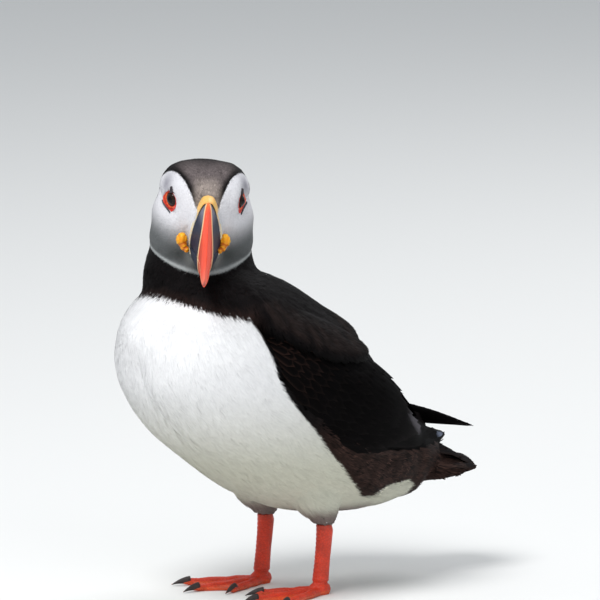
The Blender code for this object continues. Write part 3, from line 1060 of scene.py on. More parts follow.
def on_wing(name, along, across, out=0.0):
    """Places on the outer face of a folded wing: 0 wrist to 1 tip, and -1 lower to 1 upper edge."""
    rows = smooth_read(WING_SECTIONS + TIP_SECTIONS[name], along)
    forward, left, up, pitch, lean, height, thick = np.moveaxis(rows, -1, 0)
    pitch, lean = np.radians(pitch), np.radians(lean)
    rise = height * across
    apart = thick * np.sqrt(np.clip(1 - across**2, 0, 1)) - rise**2 / (2 * WING_WRAP) + out
    over = rise * np.cos(lean) + apart * np.sin(lean)
    outward = apart * np.cos(lean) - rise * np.sin(lean)
    forward, up = forward - over * np.sin(pitch), up + over * np.cos(pitch)
    return on_body(forward, SIDES[name] * (left + outward), up)


def on_tail(along, across, face):
    """Places on the tail's upper (1) or under (-1) face: 0 root to 1 tip, -1 right to 1 left."""
    forward, up, half, thick = np.moveaxis(smooth_read(TAIL_SECTIONS, along), -1, 0)
    rise = face * thick * np.sqrt(np.clip(1 - across**2, 0, 1))
    sideways = half * across
    return on_body(forward - rise * 0.35, sideways, up + rise - sideways**2 / 90)


def face_normals(place, along, across):
    """Normals of a two-way face, by small steps."""
    front, back = np.clip(along + 0.004, 0, 1), np.clip(along - 0.004, 0, 1)
    left, right = np.clip(across + 0.05, -1, 1), np.clip(across - 0.05, -1, 1)
    ahead = place(front, across) - place(back, across)
    wide = place(along, left) - place(along, right)
    return unit(np.cross(unit(ahead), wide))


VANE_ACROSS = np.array((-1.0, -0.55, 0.0, 0.55, 1.0))  # corners across a vane, about its shaft

# Two painted patches of sheen near the end of the left wing, pale grey reflections off the glossy
# feathers: both ends of each, its radius and colour.
SHEEN_PATCHES = (
    ((-43, 35.5, 82.5), (-53, 28, 75), 4.6, srgb(92, 89, 94)),
    ((-82.5, 6, 66), (-86, 3, 65), 4.2, srgb(128, 136, 156)),
)


def with_sheen(points, colours):
    """Adds the painted sheen, pale grey reflections, to colours of the wing."""
    here = np.stack(body_place(points), -1)
    for first, last, radius, pale in SHEEN_PATCHES:
        run = np.array(last, float) - first
        share = np.clip((here - first) @ run / (run @ run), 0, 1)
        away = np.linalg.norm(here - first - share[..., None] * run, axis=-1)
        colours = mix_colour(colours, pale, 0.8 * ease(radius, 0.4 * radius, away))
    return colours


def staggered(rows, number, first, width):
    """The row and the place across of each feather, where each row starts half a feather aside."""
    for row in range(rows):
        for i in range(number):
            yield row, first + width * (i + 0.5 * (row % 2)) / (number - 0.5)


def vaned(name, place, starts, ends, size, rng, colour, rim_colour, flip=1.0, rows=6):
    """Firm feathers, each a curved vane with a shaft, from starts to ends on a two-way face.

    size holds values for all feathers or one for each: width, the height of root (low) and tip
    (high), in millimetres, and how pointed the tip is, from 0 to 1 (point)."""
    count = len(starts)
    starts, ends = np.array(starts), np.array(ends)
    size = {key: np.broadcast_to(value, count)[:, None] for key, value in size.items()}
    t = np.linspace(0, 1, rows + 1)
    along = starts[:, None, 0] + (ends[:, None, 0] - starts[:, None, 0]) * t
    across = starts[:, None, 1] + (ends[:, None, 1] - starts[:, None, 1]) * t
    base = place(along, across)
    way = unit(np.gradient(base, axis=1))
    side = unit(np.cross(face_normals(place, along, across) * flip, way))
    up = np.cross(way, side)
    swell = mix(0.75, 1.0, ease(0, 0.3, t))
    blunt = np.sqrt(np.clip(1 - ((t - 0.45) / 0.57) ** 4, 0.02, 1)) * swell
    pointed = np.clip(1 - t**2.4, 0, 1) ** 0.75 * swell
    profile = mix(blunt, pointed, size["point"])
    profile[:, -1] = 0.1
    wide = size["width"] * profile / 2
    lift = size["low"] * (1 - t) + size["high"] * t
    x = VANE_ACROSS
    arch = -0.10 * size["width"][..., None] * x**2 + 0.10 * (x == 0)
    sweep = -0.22 * size["width"][..., None] * np.abs(x) ** 1.5
    corners = (
        base[:, :, None]
        + side[:, :, None] * (wide[..., None] * x * MM)[..., None]
        + up[:, :, None] * ((lift[..., None] + arch) * MM)[..., None]
        + way[:, :, None] * (sweep * ease(0.5, 1, t)[:, None] * MM)[..., None]
    )
    normals = unit(up[:, :, None] + side[:, :, None] * (0.3 * x)[:, None])
    tone = rng.normal(1, 0.12, (count, 1, 1, 1))
    rim = np.maximum(np.abs(x) ** 4 * 0.8, ease(0.8, 1.0, t)[:, None])
    rim = np.broadcast_to(rim, corners.shape[:-1])
    # The wing's colours, with the painted sheen near the end of the left wing.
    tints = with_sheen(corners, mix_colour(colour, rim_colour, rim) * tone)
    patch = np.stack(np.broadcast_arrays((x + 1) / 2, t[:, None]), -1)
    patch = np.broadcast_to(patch, (*corners.shape[:-1], 2))
    spots = np.stack([starts[:, 0], (starts[:, 1] + 1) / 2], -1)
    spots = np.broadcast_to(spots[:, None, None], patch.shape)
    grid = np.arange((rows + 1) * len(x)).reshape(rows + 1, len(x))
    quads = np.stack([grid[:-1, 1:], grid[:-1, :-1], grid[1:, :-1], grid[1:, 1:]], -1).reshape(-1)
    faces = (np.arange(count)[:, None] * grid.size + quads).ravel()
    mesh = mesh_of_strips(
        name, corners.reshape(-1, 3), faces, np.full(len(faces) // 4, 4),
        normals.reshape(-1, 3), tints.reshape(-1, 3), spots.reshape(-1, 2), patch.reshape(-1, 2),
    )
    return finished(name, mesh, quill_material(), smooth=False)


def wing_area(points, reach=1.0, near=3.0):
    """True where the folded wing, and not the shoulder, carries the feathers."""
    columns, rows = 60, 25
    along, across = np.meshgrid(np.linspace(0.03, 0.97, columns), np.linspace(-0.8, 1.0, rows))
    across = np.clip(across * reach, -1, 1)
    below = mix(1.0, 0.6 * reach, ease(0.66, 0.82, along))
    above = mix(0.88, 1.0, ease(0.3, 0.42, along))
    across = across * np.where(across < 0, below, above)
    corners = [row * columns + i for row in range(rows - 1) for i in range(columns - 1)]
    quads = [(at, at + 1, at + columns + 1, at + columns) for at in corners]
    found = np.zeros(len(points), bool)
    for name in SIDES:
        cloud = on_wing(name, along.ravel(), across.ravel())
        tree = BVHTree.FromPolygons(cloud.tolist(), quads)
        found |= [tree.find_nearest(point, near * MM)[0] is not None for point in points]
    open_wing = (above_fold(points) < 1.0) | (body_place(points)[0] < -30)
    return found & open_wing & (darkness(points) > -0.5)


# How far apart the tufts of head and body stand, in millimetres.
HEAD_GAP, BODY_GAP = 0.62, 1.6


class PUFFIN_OT_head_feathers(bpy.types.Operator):
    """Lays the short, dense feathers of the head"""

    bl_idname = "puffin.head_feathers"
    bl_label = "Head feathers"

    def execute(self, context):
        plan = context.scene.puffin
        skin = MADE["skin"]
        rng = np.random.default_rng(plan.seed)
        roots, normals = skin.scatter(HEAD_GAP, self.wanted, plan.seed)
        up, inside = head_place(roots)[2], faceness(roots)
        pale = ease(-1, 1, inside)
        lengths = plan.head_length / MM * mix(1.15, 0.95, pale) * mix(1.5, 1.0, ease(-32, -26, up))
        lengths = lengths * mix(0.5, 1.0, ease(0.2, 2.6, inside) + ease(0.0, -0.3, inside))
        lengths = lengths * rng.uniform(0.8, 1.2, len(roots))
        walk = laid(skin, roots, normals, lengths, rng, steps=2, waver=0.12, swirl=0.1)
        clear = ~(near_eye_ring(walk[0], -0.35).any(1) | near_rosette(walk[0], -0.3).any(1))
        walk = kept(walk, clear)
        up, pale = kept((up, pale), clear)
        size = {
            "blades": 4, "width": 0.56, "root": 1.1, "tip": 1.25, "bend": 0.08, "fray": 0.1,
            "depth": mix(0.4, 0.24, pale), "tone": mix(0.13, 0.012, pale), "ply": 0.02,
            "soft": mix(0.12, 0.03, pale), "round": mix(0.2, 0.03, pale),
            "uneven": mix(0.15, 0.03, pale), "sunk": mix(0.6, 0.8, pale),
        }

        def paint(points):
            return marked(points, 0.22)

        in_lots("head_feathers", walk, size, rng, paint, -up, rows=2)
        return {"FINISHED"}

    def wanted(self, points):
        """True on the head, away from the bill and the skin round the eyes."""
        along, side, rise = bill_place(points)
        reach = np.interp(rise, (-13, -4, 3, 12, 19, 23), (5.0, 6.2, 7.0, 6.0, 4.4, 3.8))
        start = np.interp(rise, (-4, 3, 12, 23), (1.2, 0.2, -0.6, -5.4))
        bare = (along > start) & (np.abs(side) < reach) & (rise > -13)
        return (head_place(points)[2] > -31.5) & ~bare & ~near_eye_ring(points, 0.0)


class PUFFIN_OT_body_feathers(bpy.types.Operator):
    """Lays the feathers of the neck, back, breast, belly and thighs"""

    bl_idname = "puffin.body_feathers"
    bl_label = "Body feathers"

    def execute(self, context):
        plan = context.scene.puffin
        skin = MADE["skin"]
        rng = np.random.default_rng(plan.seed + 1)
        roots, normals = skin.scatter(BODY_GAP, self.wanted, plan.seed + 1)
        roots, normals = kept((roots, normals), ~wing_area(roots))
        forward, _, up = body_place(roots)
        inside = darkness(roots)
        dark = ease(-1, 1, inside)
        lengths = mix(plan.breast_length, plan.back_length, dark) / MM
        lengths = lengths * mix(1.0, 0.5, ease(-46, -33, head_place(roots)[2]))
        thigh = ease(46, 38, up) * ease(34, 28, np.abs(forward))
        lengths = lengths * mix(1.0, 0.5, thigh) * rng.uniform(0.85, 1.15, len(roots))
        walk = laid(skin, roots, normals, lengths, rng, waver=0.07)
        # A tuft that would bridge a hollow is left out.
        halfway = (walk[0][:, 0] + walk[0][:, -1]) / 2
        sag = np.linalg.norm(skin.nearest(halfway)[0] - halfway, axis=-1) / MM
        sound = sag < mix(1.6, 0.7, dark)
        walk = kept(walk, sound)
        roots, forward, up, dark, inside = kept((roots, forward, up, dark, inside), sound)
        flank = ease(90, 76, up) * ease(35, 20, forward) * ease(0, 3, inside)
        size = {
            "blades": 8, "width": mix(0.7, 0.64, dark), "root": 2.5, "tip": 3.4, "bend": 0.25,
            "fray": 0.7, "depth": coat_depth(roots), "tone": mix(0.018, 0.11, dark) + 0.3 * flank,
            "ply": 0.04, "soft": mix(0.03, 0.11, dark), "round": mix(0.04, 0.18, dark),
            "uneven": mix(0.02, 0.06, dark), "sunk": mix(0.85, 0.5, dark),
        }
        order = -forward - up * 0.5
        in_lots("body_feathers", walk, size, rng, self.paint, order)
        return {"FINISHED"}

    def wanted(self, points):
        """True from the neck down to the ankles and back to the tail's root."""
        head_up = head_place(points)[2]
        forward, _, up = body_place(points)
        on_face = (head_up > -33) & (faceness(points) > -1.2)
        return (head_up < -29.5) & (up > 32) & (forward > -84) & ~on_face

    def paint(self, points):
        """The plumage's colour, with a grey cuff above each ankle."""
        forward, left, up = body_place(points)
        cuff = ease(44, 36, up) * ease(34, 28, np.abs(forward)) * ease(7, 9, np.abs(left))
        colour = mix_colour(marked(points, 0.45), srgb(112, 98, 96), cuff * 0.9)
        return mix_colour(colour, BLACK, ease(-38, -35, head_place(points)[2]))


HAND_FEATHERS, ARM_FEATHERS = 7, 11
COVERTS_END = 0.50  # how far along the wing its last row of coverts starts


class PUFFIN_OT_wing_feathers(bpy.types.Operator):
    """Lays the coverts and flight feathers of the folded wings"""

    bl_idname = "puffin.wing_feathers"
    bl_label = "Wing feathers"

    def execute(self, context):
        rng = np.random.default_rng(context.scene.puffin.seed + 2)
        for name, side in SIDES.items():
            self.flight(name, side, rng)
            self.coverts(name, side, rng)
        self.rump(rng)
        return {"FINISHED"}

    def rump(self, rng):
        """The feathers that bridge the two folded wings behind the back."""

        def place(along, across):
            reach = mix(0.54, 0.84, along)
            over = on_wing("left", reach, 0.86) * ((1 + across) / 2)[..., None]
            over = over + on_wing("right", reach, 0.66) * ((1 - across) / 2)[..., None]
            rise = mix(11.0, -1.5, ease(0.0, 0.62, along)) * (1 - across**2)
            return over + np.stack([0 * rise, 0 * rise, rise * MM], -1)

        starts, ends = [], []
        for row, across in staggered(4, 10, -0.78, 1.74):
            starts.append((0.2 * row, across))
            reach = 0.2 * row + 0.36 + 0.04 * row + rng.uniform(-0.04, 0.04)
            ends.append((min(reach, 1.0), across * 0.97))
        size = {
            "width": mix(8.0, 4.5, np.array(starts)[:, 0] / 0.6), "low": -0.7,
            "high": 0.4 + rng.uniform(-0.1, 0.1, len(starts)), "point": 0.05,
        }
        vaned(
            "rump_feathers", place, starts, ends, size, rng, BLACK * 0.4, srgb(19, 16, 16),
            flip=-1.0, rows=8,
        )

    def flight(self, name, side, rng):
        """The long feathers of the hand and the shorter ones of the arm."""

        def place(along, across):
            return on_wing(name, along, across)

        starts, ends, high = [], [], []
        for i in range(HAND_FEATHERS):
            share = i / (HAND_FEATHERS - 1)
            starts.append((0.50 + 0.02 * i, -0.72 + 0.72 * share))
            ends.append((1.0 - 0.055 * i, -0.3 + 0.55 * share))
            high.append(0.05 + 0.2 * i)
        for i in range(ARM_FEATHERS):
            share = i / (ARM_FEATHERS - 1)
            starts.append((0.36, -0.62 + 1.3 * share))
            ends.append((0.72 - 0.03 * abs(i - 5), -0.82 + 1.45 * share))
            high.append(0.3 + 0.05 * i)
        counts = (HAND_FEATHERS, ARM_FEATHERS)
        size = {
            "width": np.repeat((6.2, 7.6), counts), "low": np.repeat((-0.8, -0.9), counts),
            "high": high, "point": np.repeat((0.9, 0.3), counts),
        }
        vaned(
            f"flight_feathers_{name}", place, starts, ends, size, rng, BLACK * 0.28,
            srgb(22, 19, 19), flip=side, rows=14,
        )

    def coverts(self, name, side, rng):
        """The rows of small feathers over the front half of the wing."""

        def place(along, across):
            above = above_fold(on_wing(name, along, across))
            return on_wing(name, along, across, -1.5 * bump(above, -1.8, 2.8))

        def shows(along, across):
            """True in the dark plumage, out from under the shoulder's feathers."""
            under = above_fold(place(np.array(along + 0.01), np.array(across))) > 4.0
            if under and along / COVERTS_END < 0.9:
                return False
            return darkness(place(np.array(along), np.array(across))) >= 2.5

        starts, ends, width = [], [], []
        along, row = 0.0, 0
        while along < COVERTS_END:
            share = along / COVERTS_END
            reach, wide = mix(0.052, 0.115, share), mix(3.6, 6.2, share)
            height = smooth_read(WING_SECTIONS + TIP_SECTIONS[name], np.array(along))[5]
            number = max(3, int(2 * height / (wide * 0.62)))
            for i in range(number + 1):
                across = -0.94 + 1.84 * (i + 0.5 * (row % 2)) / number
                if across > 0.93 or not shows(along, across):
                    continue
                first, beside = along + rng.normal(0, 0.003), across + rng.normal(0, 0.02)
                starts.append((first, beside))
                ends.append((first + reach, beside))
                width.append(wide * rng.uniform(0.92, 1.1))
            along += reach * 0.36
            row += 1
        size = {
            "width": width, "low": -1.0,
            "high": 0.35 + rng.uniform(-0.05, 0.12, len(starts)), "point": 0.0,
        }
        near_front = ease(0.32, 0.1, np.array(starts)[:, 0])[:, None, None]
        rim = mix_colour(srgb(15, 13, 13), BROWN * 0.9, near_front)
        vaned(
            f"coverts_{name}", place, starts, ends, size, rng, BLACK * 0.32, rim,
            flip=side, rows=5,
        )


TAIL_FEATHERS = 16  # on each face of the tail


class PUFFIN_OT_tail_feathers(bpy.types.Operator):
    """Lays the short tail feathers"""

    bl_idname = "puffin.tail_feathers"
    bl_label = "Tail feathers"

    def execute(self, context):
        rng = np.random.default_rng(context.scene.puffin.seed + 3)
        self.coverts(rng)
        share = -1 + 2 * np.arange(TAIL_FEATHERS) / (TAIL_FEATHERS - 1)
        starts = np.stack([np.full(TAIL_FEATHERS, 0.15), share * 0.7], -1)
        ends = np.stack([0.99 - 0.12 * np.abs(share) ** 2.5, share * 0.93], -1)
        size = {"width": 6.6, "low": -0.5, "high": 0.2 + 0.25 * (1 - np.abs(share)), "point": 0.2}
        for name, face in (("upper", 1), ("under", -1)):

            def place(along, across):
                return on_tail(along, across, face)

            vaned(
                f"tail_feathers_{name}", place, starts, ends, size, rng, BLACK * 1.1, BROWN * 0.8,
                flip=-face, rows=10,
            )
        return {"FINISHED"}

    def coverts(self, rng):
        """The feathers that run from the rump onto the tail."""

        def place(along, across):
            up = np.interp(along, (0, 0.55, 1), (68.0, 62.6, 53.9)) - 3.4 * across**2
            return on_body(mix(-64, -97, along), across * mix(13, 16, along), up)

        starts, ends = [], []
        for row, across in staggered(3, 8, -0.95, 1.9):
            starts.append((0.2 * row, across))
            ends.append((0.55 + 0.2 * row + rng.uniform(-0.04, 0.04), across))
        high = mix(0.35, 0.0, np.array(starts)[:, 0] / 0.4)
        high = high + rng.uniform(-0.08, 0.08, len(starts))
        size = {"width": 7.0, "low": -0.9, "high": high, "point": 0.05}
        vaned(
            "tail_coverts", place, starts, ends, size, rng, BLACK * 1.2, BROWN * 0.42,
            flip=-1.0, rows=8,
        )


# ---------------------------------------------------------------- bill

BILL_START = (20.5, 0.0, -15.0)
BILL_DROOP, BILL_YAW = 10.0, -2.8
BILL_LENGTH, UPPER_DEPTH, LOWER_DEPTH = 37.3, 24.0, 13.5
BILL_HALF_WIDTH, RIDGE_HALF_WIDTH = 7.6, 2.85
CERE_BACK, CERE_FRONT = -2.0, 2.0
PLATE_LENGTH = 12.2  # of the slate plate, along the mouth
# The grooves that cross the red part: where each meets the mouth, and its strength.
GROOVES = ((17.5, 1.0), (24.0, 0.8))


def on_bill(along, left, rise):
    """Places on the bill: along the closed mouth, to the left, and above the mouth."""
    droop = math.radians(BILL_DROOP)
    tip_bend = 0.6 * np.clip(along / BILL_LENGTH, 0, 1) ** 4
    left = left + along * math.sin(math.radians(BILL_YAW)) - tip_bend
    forward = BILL_START[0] + along * math.cos(droop) + rise * math.sin(droop)
    up = BILL_START[2] - along * math.sin(droop) + rise * math.cos(droop)
    return on_head(forward, left, up)


def bill_place(points):
    """Along, left and rise on the bill, in millimetres, of places in metres."""
    droop = math.radians(BILL_DROOP)
    forward, left, up = head_place(points)
    forward, up = forward - BILL_START[0], up - BILL_START[2]
    along = forward * math.cos(droop) - up * math.sin(droop)
    rise = forward * math.sin(droop) + up * math.cos(droop)
    return along, left - along * math.sin(math.radians(BILL_YAW)), rise


def upper_edge(along):
    return UPPER_DEPTH * np.clip(1 - np.clip(along / BILL_LENGTH, 0, 1) ** 1.75, 0, 1) ** 0.78


def lower_edge(along):
    reach = np.clip(along / (BILL_LENGTH - 2), 0, 1)
    return LOWER_DEPTH * np.clip(1 - reach**2.0, 0, 1) ** 0.8


def half_width(along, height):
    """Half the bill's thickness; height runs from 0 at the mouth to 1 at the ridge or keel."""
    ahead = np.clip(along, 0, BILL_LENGTH) / BILL_LENGTH
    flare = np.exp(-((np.maximum(along - CERE_BACK, 0) / 10.0) ** 1.8))
    ridge = RIDGE_HALF_WIDTH * (1 - 0.22 * ahead)
    tip = np.clip(1 - 0.97 * ahead**4.2, 0, 1) ** 0.62
    widest = ridge + (BILL_HALF_WIDTH - RIDGE_HALF_WIDTH) * flare
    return widest * tip * np.clip(1 - height**1.8, 0, 1) ** 0.72


def plate_front(rise):
    """Where the slate plate ends and the red begins, along the mouth."""
    high = 1 - (np.clip(rise, 0, 24.3) / 24.3) ** 4.2
    low = 1 - (np.clip(-rise, 0, LOWER_DEPTH) / 15.0) ** 2.5
    return PLATE_LENGTH * np.where(rise > 0, high, low)


def grooves(along, rise):
    """Depth of the curved grooves that cross the red part, 0 to 1."""
    total = np.zeros(np.broadcast(along, rise).shape)
    for front, strength in GROOVES:
        top = upper_edge(np.minimum(along, front))
        bend = np.clip(np.abs(rise) / np.maximum(top, 1), 0, 1)
        line = front * (1 - 0.55 * bend**2.6)
        total += strength * bump(along, line, 0.55) * ease(1.0, 0.86, bend)
    return np.clip(total, 0, 1)


OUTER_SHARE = 0.86  # of the corners round a half of the bill, those on its outer face
MOUTH_GAP = 0.06  # from the middle of the closed mouth to each half, in millimetres

RED = srgb(255, 85, 57)
# Painted shade of the red on the bill's sides and in its grooves.
SHADED_RED = srgb(196, 52, 30)
ORANGE = srgb(243, 120, 48)
SLATE = srgb(27, 36, 60)
CREAM = srgb(244, 205, 155)


def bill_colour(points):
    """Slate plate, pale line, then red with its grooves, worn at the tip; painted shade on the
    red's sides and in the grooves, and a painted highlight on the slate by the ridge.
    """
    along, left, rise = bill_place(points)
    side = np.abs(left)
    groove = grooves(along, rise)
    red = bpy.context.scene.puffin.red
    # Painted shade on the sides of the red, away from the ridge.
    red = mix_colour(red, SHADED_RED, 0.75 * ease(1.5, 2.6, side) * ease(30, 22, along))
    red = mix_colour(red, ORANGE, ease(9, 2, along) * 0.9)
    red = mix_colour(red, srgb(250, 170, 130), bump(groove, 0.45, 0.2) * 0.22)
    # Painted shade in the grooves.
    red = mix_colour(red, SHADED_RED * 0.7, 0.8 * ease(0.7, 1.0, groove))
    red = mix_colour(red, srgb(232, 150, 130), 0.4 * ease(30, 37, along))
    red = mix_colour(red, srgb(70, 62, 66), ease(35.5, 38, along) * 0.85)
    # Painted highlight on the slate's upper part by the ridge.
    by_ridge = 0.7 * ease(13, 21, rise) * ease(5.5, 2.5, side)
    slate = mix_colour(SLATE, srgb(138, 140, 156), by_ridge)
    past = along - plate_front(rise)
    colour = mix_colour(slate, red, ease(-0.15, 0.15, past))
    colour = mix_colour(colour, CREAM, np.clip(1.3 * bump(past, 0.25, 0.62), 0, 1))
    mouth = bump(rise, 0, 0.5) * ease(9, 12, along) * ease(1.0, 2.0, side)
    return mix_colour(colour, CREAM, 0.75 * mouth)


def mandible(name, edge, sign, last):
    """One half of the bill: a closed shell, its outer face followed by its face in the mouth."""

    def place(across, length):
        first = CERE_FRONT - 1.5
        along = first + (last - first) * (1 - (1 - length) ** 1.25)
        over = np.clip(across / OUTER_SHARE, 0, 1)
        under = np.clip((across - OUTER_SHARE) / (1 - OUTER_SHARE), 0, 1)
        angle = math.pi * (over - 0.5)
        height = np.clip(np.cos(angle), 0, 1) ** 0.8
        rise = MOUTH_GAP + height * np.maximum(edge(along), 0.8)
        half = half_width(along, height)
        half = half - 0.32 * grooves(along, rise * sign) * ease(0, 1.2, half)
        side = np.where(across < OUTER_SHARE, np.sign(angle), 1 - 2 * under)
        past = along - plate_front(rise * sign)
        swell = 0.22 * bump(past, 0, 0.8) * ease(0, 1.2, half)
        return on_bill(along, side * (half + swell), rise * sign)

    bm = welded(shaped_grid(150, 150, place))
    return finished(name, tint_by_point(bm, bill_colour), horn_material())


# The swollen rim's back and front edges, top to mouth: along, left and rise on the bill.
CERE_BACK_EDGE = (
    (-6.0, 0.0, 23.2),
    (-5.6, 2.5, 22.4),
    (-4.4, 4.1, 19.2),
    (-2.4, 5.2, 15.2),
    (-0.8, 6.3, 11.2),
    (0.0, 7.1, 7.0),
    (0.0, 7.4, 3.2),
    (0.4, 7.3, -0.5),
    (1.4, 6.5, -4.0),
)
CERE_FRONT_EDGE = (
    (2.9, 0.0, 23.9),
    (2.2, 1.9, 22.9),
    (1.5, 3.5, 19.6),
    (1.2, 4.8, 15.4),
    (1.1, 5.8, 11.2),
    (1.0, 6.6, 7.0),
    (1.0, 7.0, 3.2),
    (1.2, 6.9, -0.5),
    (1.8, 6.3, -4.0),
)
CERE_SWELL = 0.8
CERE_OUTER_SHARE = 0.7  # of the corners across the rim, those on its outer face


def cere_colour(points):
    along, left, rise = bill_place(points)
    colour = mix_colour(srgb(233, 216, 182), srgb(242, 190, 104), ease(12, 22, rise))
    front = ease(0.5, 2.2, along) * ease(17, 22, rise) * ease(3.4, 1.2, np.abs(left))
    return mix_colour(colour, srgb(236, 160, 92), 0.7 * front)


class PUFFIN_OT_bill(bpy.types.Operator):
    """Makes the upper and lower bill and the swollen rim that they grow from"""

    bl_idname = "puffin.bill"
    bl_label = "Bill"

    def execute(self, context):
        upper = mandible("bill_upper_horn", upper_edge, 1, BILL_LENGTH)
        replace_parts(upper, "bill_upper")
        lower = mandible("bill_lower_horn", lower_edge, -1, BILL_LENGTH - 2)
        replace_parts(lower, "bill_lower")
        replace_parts(self.cere(), "cere")
        return {"FINISHED"}

    def cere(self):
        def place(around, across):
            side = np.where(around < 0.5, -1.0, 1.0)
            down = np.abs(around - 0.5) * 2
            back, front = smooth_read(CERE_BACK_EDGE, down), smooth_read(CERE_FRONT_EDGE, down)
            outer = np.clip(across / CERE_OUTER_SHARE, 0, 1)
            inner = np.clip((across - CERE_OUTER_SHARE) / (1 - CERE_OUTER_SHARE), 0, 1)
            on_outer = across < CERE_OUTER_SHARE
            share = np.where(on_outer, outer, 1 - inner)
            along, left, rise = np.moveaxis(back + (front - back) * share[:, None], -1, 0)
            swell = np.where(
                on_outer,
                CERE_SWELL * np.sin(math.pi * outer) ** 0.7 * mix(1.0, 0.5, down),
                -0.7 * np.sin(math.pi * inner),
            )
            top = ease(0.25, 0.0, down)
            out_left = (1 - top) * ease(0, 0.12, down)
            left = np.maximum(left, 0) + swell * out_left
            return on_bill(along, side * left, rise + swell * top)

        bm = welded(shaped_grid(160, 24, place))
        return finished("cere_rim", tint_by_point(bm, cere_colour), fleshy_material())


# Lobes of a rosette, on the left side of the head: forward, left, up and radius.
ROSETTE_LOBES = (
    (20.4, 10.7, -12.5, 3.25),
    (21.8, 9.8, -15.0, 2.15),
    (22.8, 8.5, -16.4, 1.5),
)
# How much further out than that each side's rosette sits.
ROSETTE_OUT = {"left": -1.7, "right": 0.2}
ROSETTE_PALE = srgb(252, 186, 30)
# Painted shade in the troughs of a rosette's wrinkles.
ROSETTE_SHADE = srgb(232, 122, 12)


def lobe_distances(name, points):
    """Millimetres from the face of each lobe of a rosette, negative inside it."""
    return [
        np.linalg.norm(points - centre, axis=-1) / MM - radius for centre, radius in lobes(name)
    ]


def lobes(name):
    """The middle and the radius of each lobe of a rosette."""
    for forward, left, up, radius in ROSETTE_LOBES:
        yield on_head(forward, SIDES[name] * (left + ROSETTE_OUT[name]), up), radius


class PUFFIN_OT_rosettes(bpy.types.Operator):
    """Makes the wrinkled rosettes at the corners of the mouth"""

    bl_idname = "puffin.rosettes"
    bl_label = "Rosettes"

    def execute(self, context):
        for name, side in SIDES.items():
            self.one(name, side)
        return {"FINISHED"}

    def one(self, name, side):
        bm = bmesh.new()
        for centre, radius in lobes(name):
            part = bmesh.new()
            bmesh.ops.create_icosphere(part, subdivisions=4, radius=1)
            for vert in part.verts:
                x, y, z = vert.co
                flat = np.array((x * side * 0.8, y * 0.95, z)) * radius * MM
                vert.co = centre + HEAD_AXES @ flat
            poured(bm, part)
        mesh = melted(f"rosette_{name}_skin", bm, voxel=0.16, rounds=8)
        points, normals = values_of(mesh, "co"), values_of(mesh, "normal")
        forward, _, up = head_place(points)
        main_forward, _, main_up, main_radius = ROSETTE_LOBES[0]
        away = np.hypot(forward - main_forward - 0.5, up - main_up)
        swirl = np.sin(away * 2 * math.pi / 1.35)
        stripes = np.sin((forward * 0.5 + up) * 2 * math.pi / 1.5)
        on_main = ease(main_radius + 0.6, main_radius - 0.4, away)
        wrinkle = mix(stripes, swirl, on_main)
        set_points(mesh, points + normals * (0.12 * wrinkle * MM)[:, None])
        # Painted shade in the wrinkles' troughs and painted highlight on their crests, following
        # their relief.
        tone = mix_colour(ROSETTE_SHADE, ROSETTE_PALE, 0.5 + 0.42 * wrinkle)
        tone = mix_colour(tone, ROSETTE_PALE, 0.4 * on_main)
        gaps = np.sort(np.abs(lobe_distances(name, points)), axis=0)
        # Painted shade in the creases between the lobes.
        crease = ease(0.7, 0.1, gaps[1] - gaps[0]) * ease(1.4, 0.5, gaps[1])
        set_tint(mesh, mix_colour(tone, srgb(190, 84, 6), 0.7 * crease))
        piece = finished(f"rosette_{name}_skin", mesh, fleshy_material())
        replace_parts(piece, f"rosette_{name}")


# ---------------------------------------------------------------- eyes

# Outline of the red skin round the eye: behind and above its middle, in millimetres.
RING_OUTLINE = (
    (3.9, -3.4),
    (0.2, -6.1),
    (-2.5, -3.9),
    (-3.35, -1.4),
    (-3.3, 1.0),
    (-1.9, 3.2),
    (1.2, 4.3),
    (3.2, 3.2),
    (5.4, 1.2),
    (7.2, -0.6),
)


def ring_reach(angle):
    """Distance of the outline from the middle of the eye at an angle from behind, upwards."""
    outline = np.array(RING_OUTLINE, float)
    bearings = np.arctan2(outline[:, 1], outline[:, 0])
    order = np.argsort(bearings)
    outline, bearings = outline[order], bearings[order]
    angle = np.mod(angle + math.pi, 2 * math.pi) - math.pi
    after = np.searchsorted(bearings, angle) % len(outline)
    first, last = outline[after - 1], outline[after]
    run_rear, run_up = (last - first)[..., 0], (last - first)[..., 1]
    cross = np.cos(angle) * run_up - np.sin(angle) * run_rear
    return (first[..., 0] * run_up - first[..., 1] * run_rear) / cross


def near_eye_ring(points, margin):
    """True inside the outline of the bare skin round either eye."""
    inside = np.zeros(points.shape[:-1], bool)
    for eye in EYES.values():
        rear, up, out = eye.local(points)
        reach = ring_reach(np.arctan2(up, rear))
        on_plate = (np.abs(rear + 0.8) < 0.7) & (up > 3) & (up < 6)
        inside |= (out > -2) & ((np.hypot(rear, up) < reach + margin) | on_plate)
    return inside


def near_rosette(points, margin):
    """True over either rosette."""
    return np.min([lobe_distances(name, points) for name in SIDES], axis=(0, 1)) < margin


def iris_colour(rays):
    """Brown iris round a black pupil, for places on the eyeball in millimetres."""
    away, angle = np.hypot(rays[:, 0], rays[:, 1]), np.arctan2(rays[:, 1], rays[:, 0])
    colour = mix_colour(srgb(42, 26, 18), srgb(26, 16, 13), 0.5 + 0.5 * np.sin(angle * 17))
    colour = mix_colour(colour, srgb(4, 4, 5), ease(2.0, 1.8, away))
    return mix_colour(colour, srgb(12, 8, 8), ease(2.7, 3.1, away))


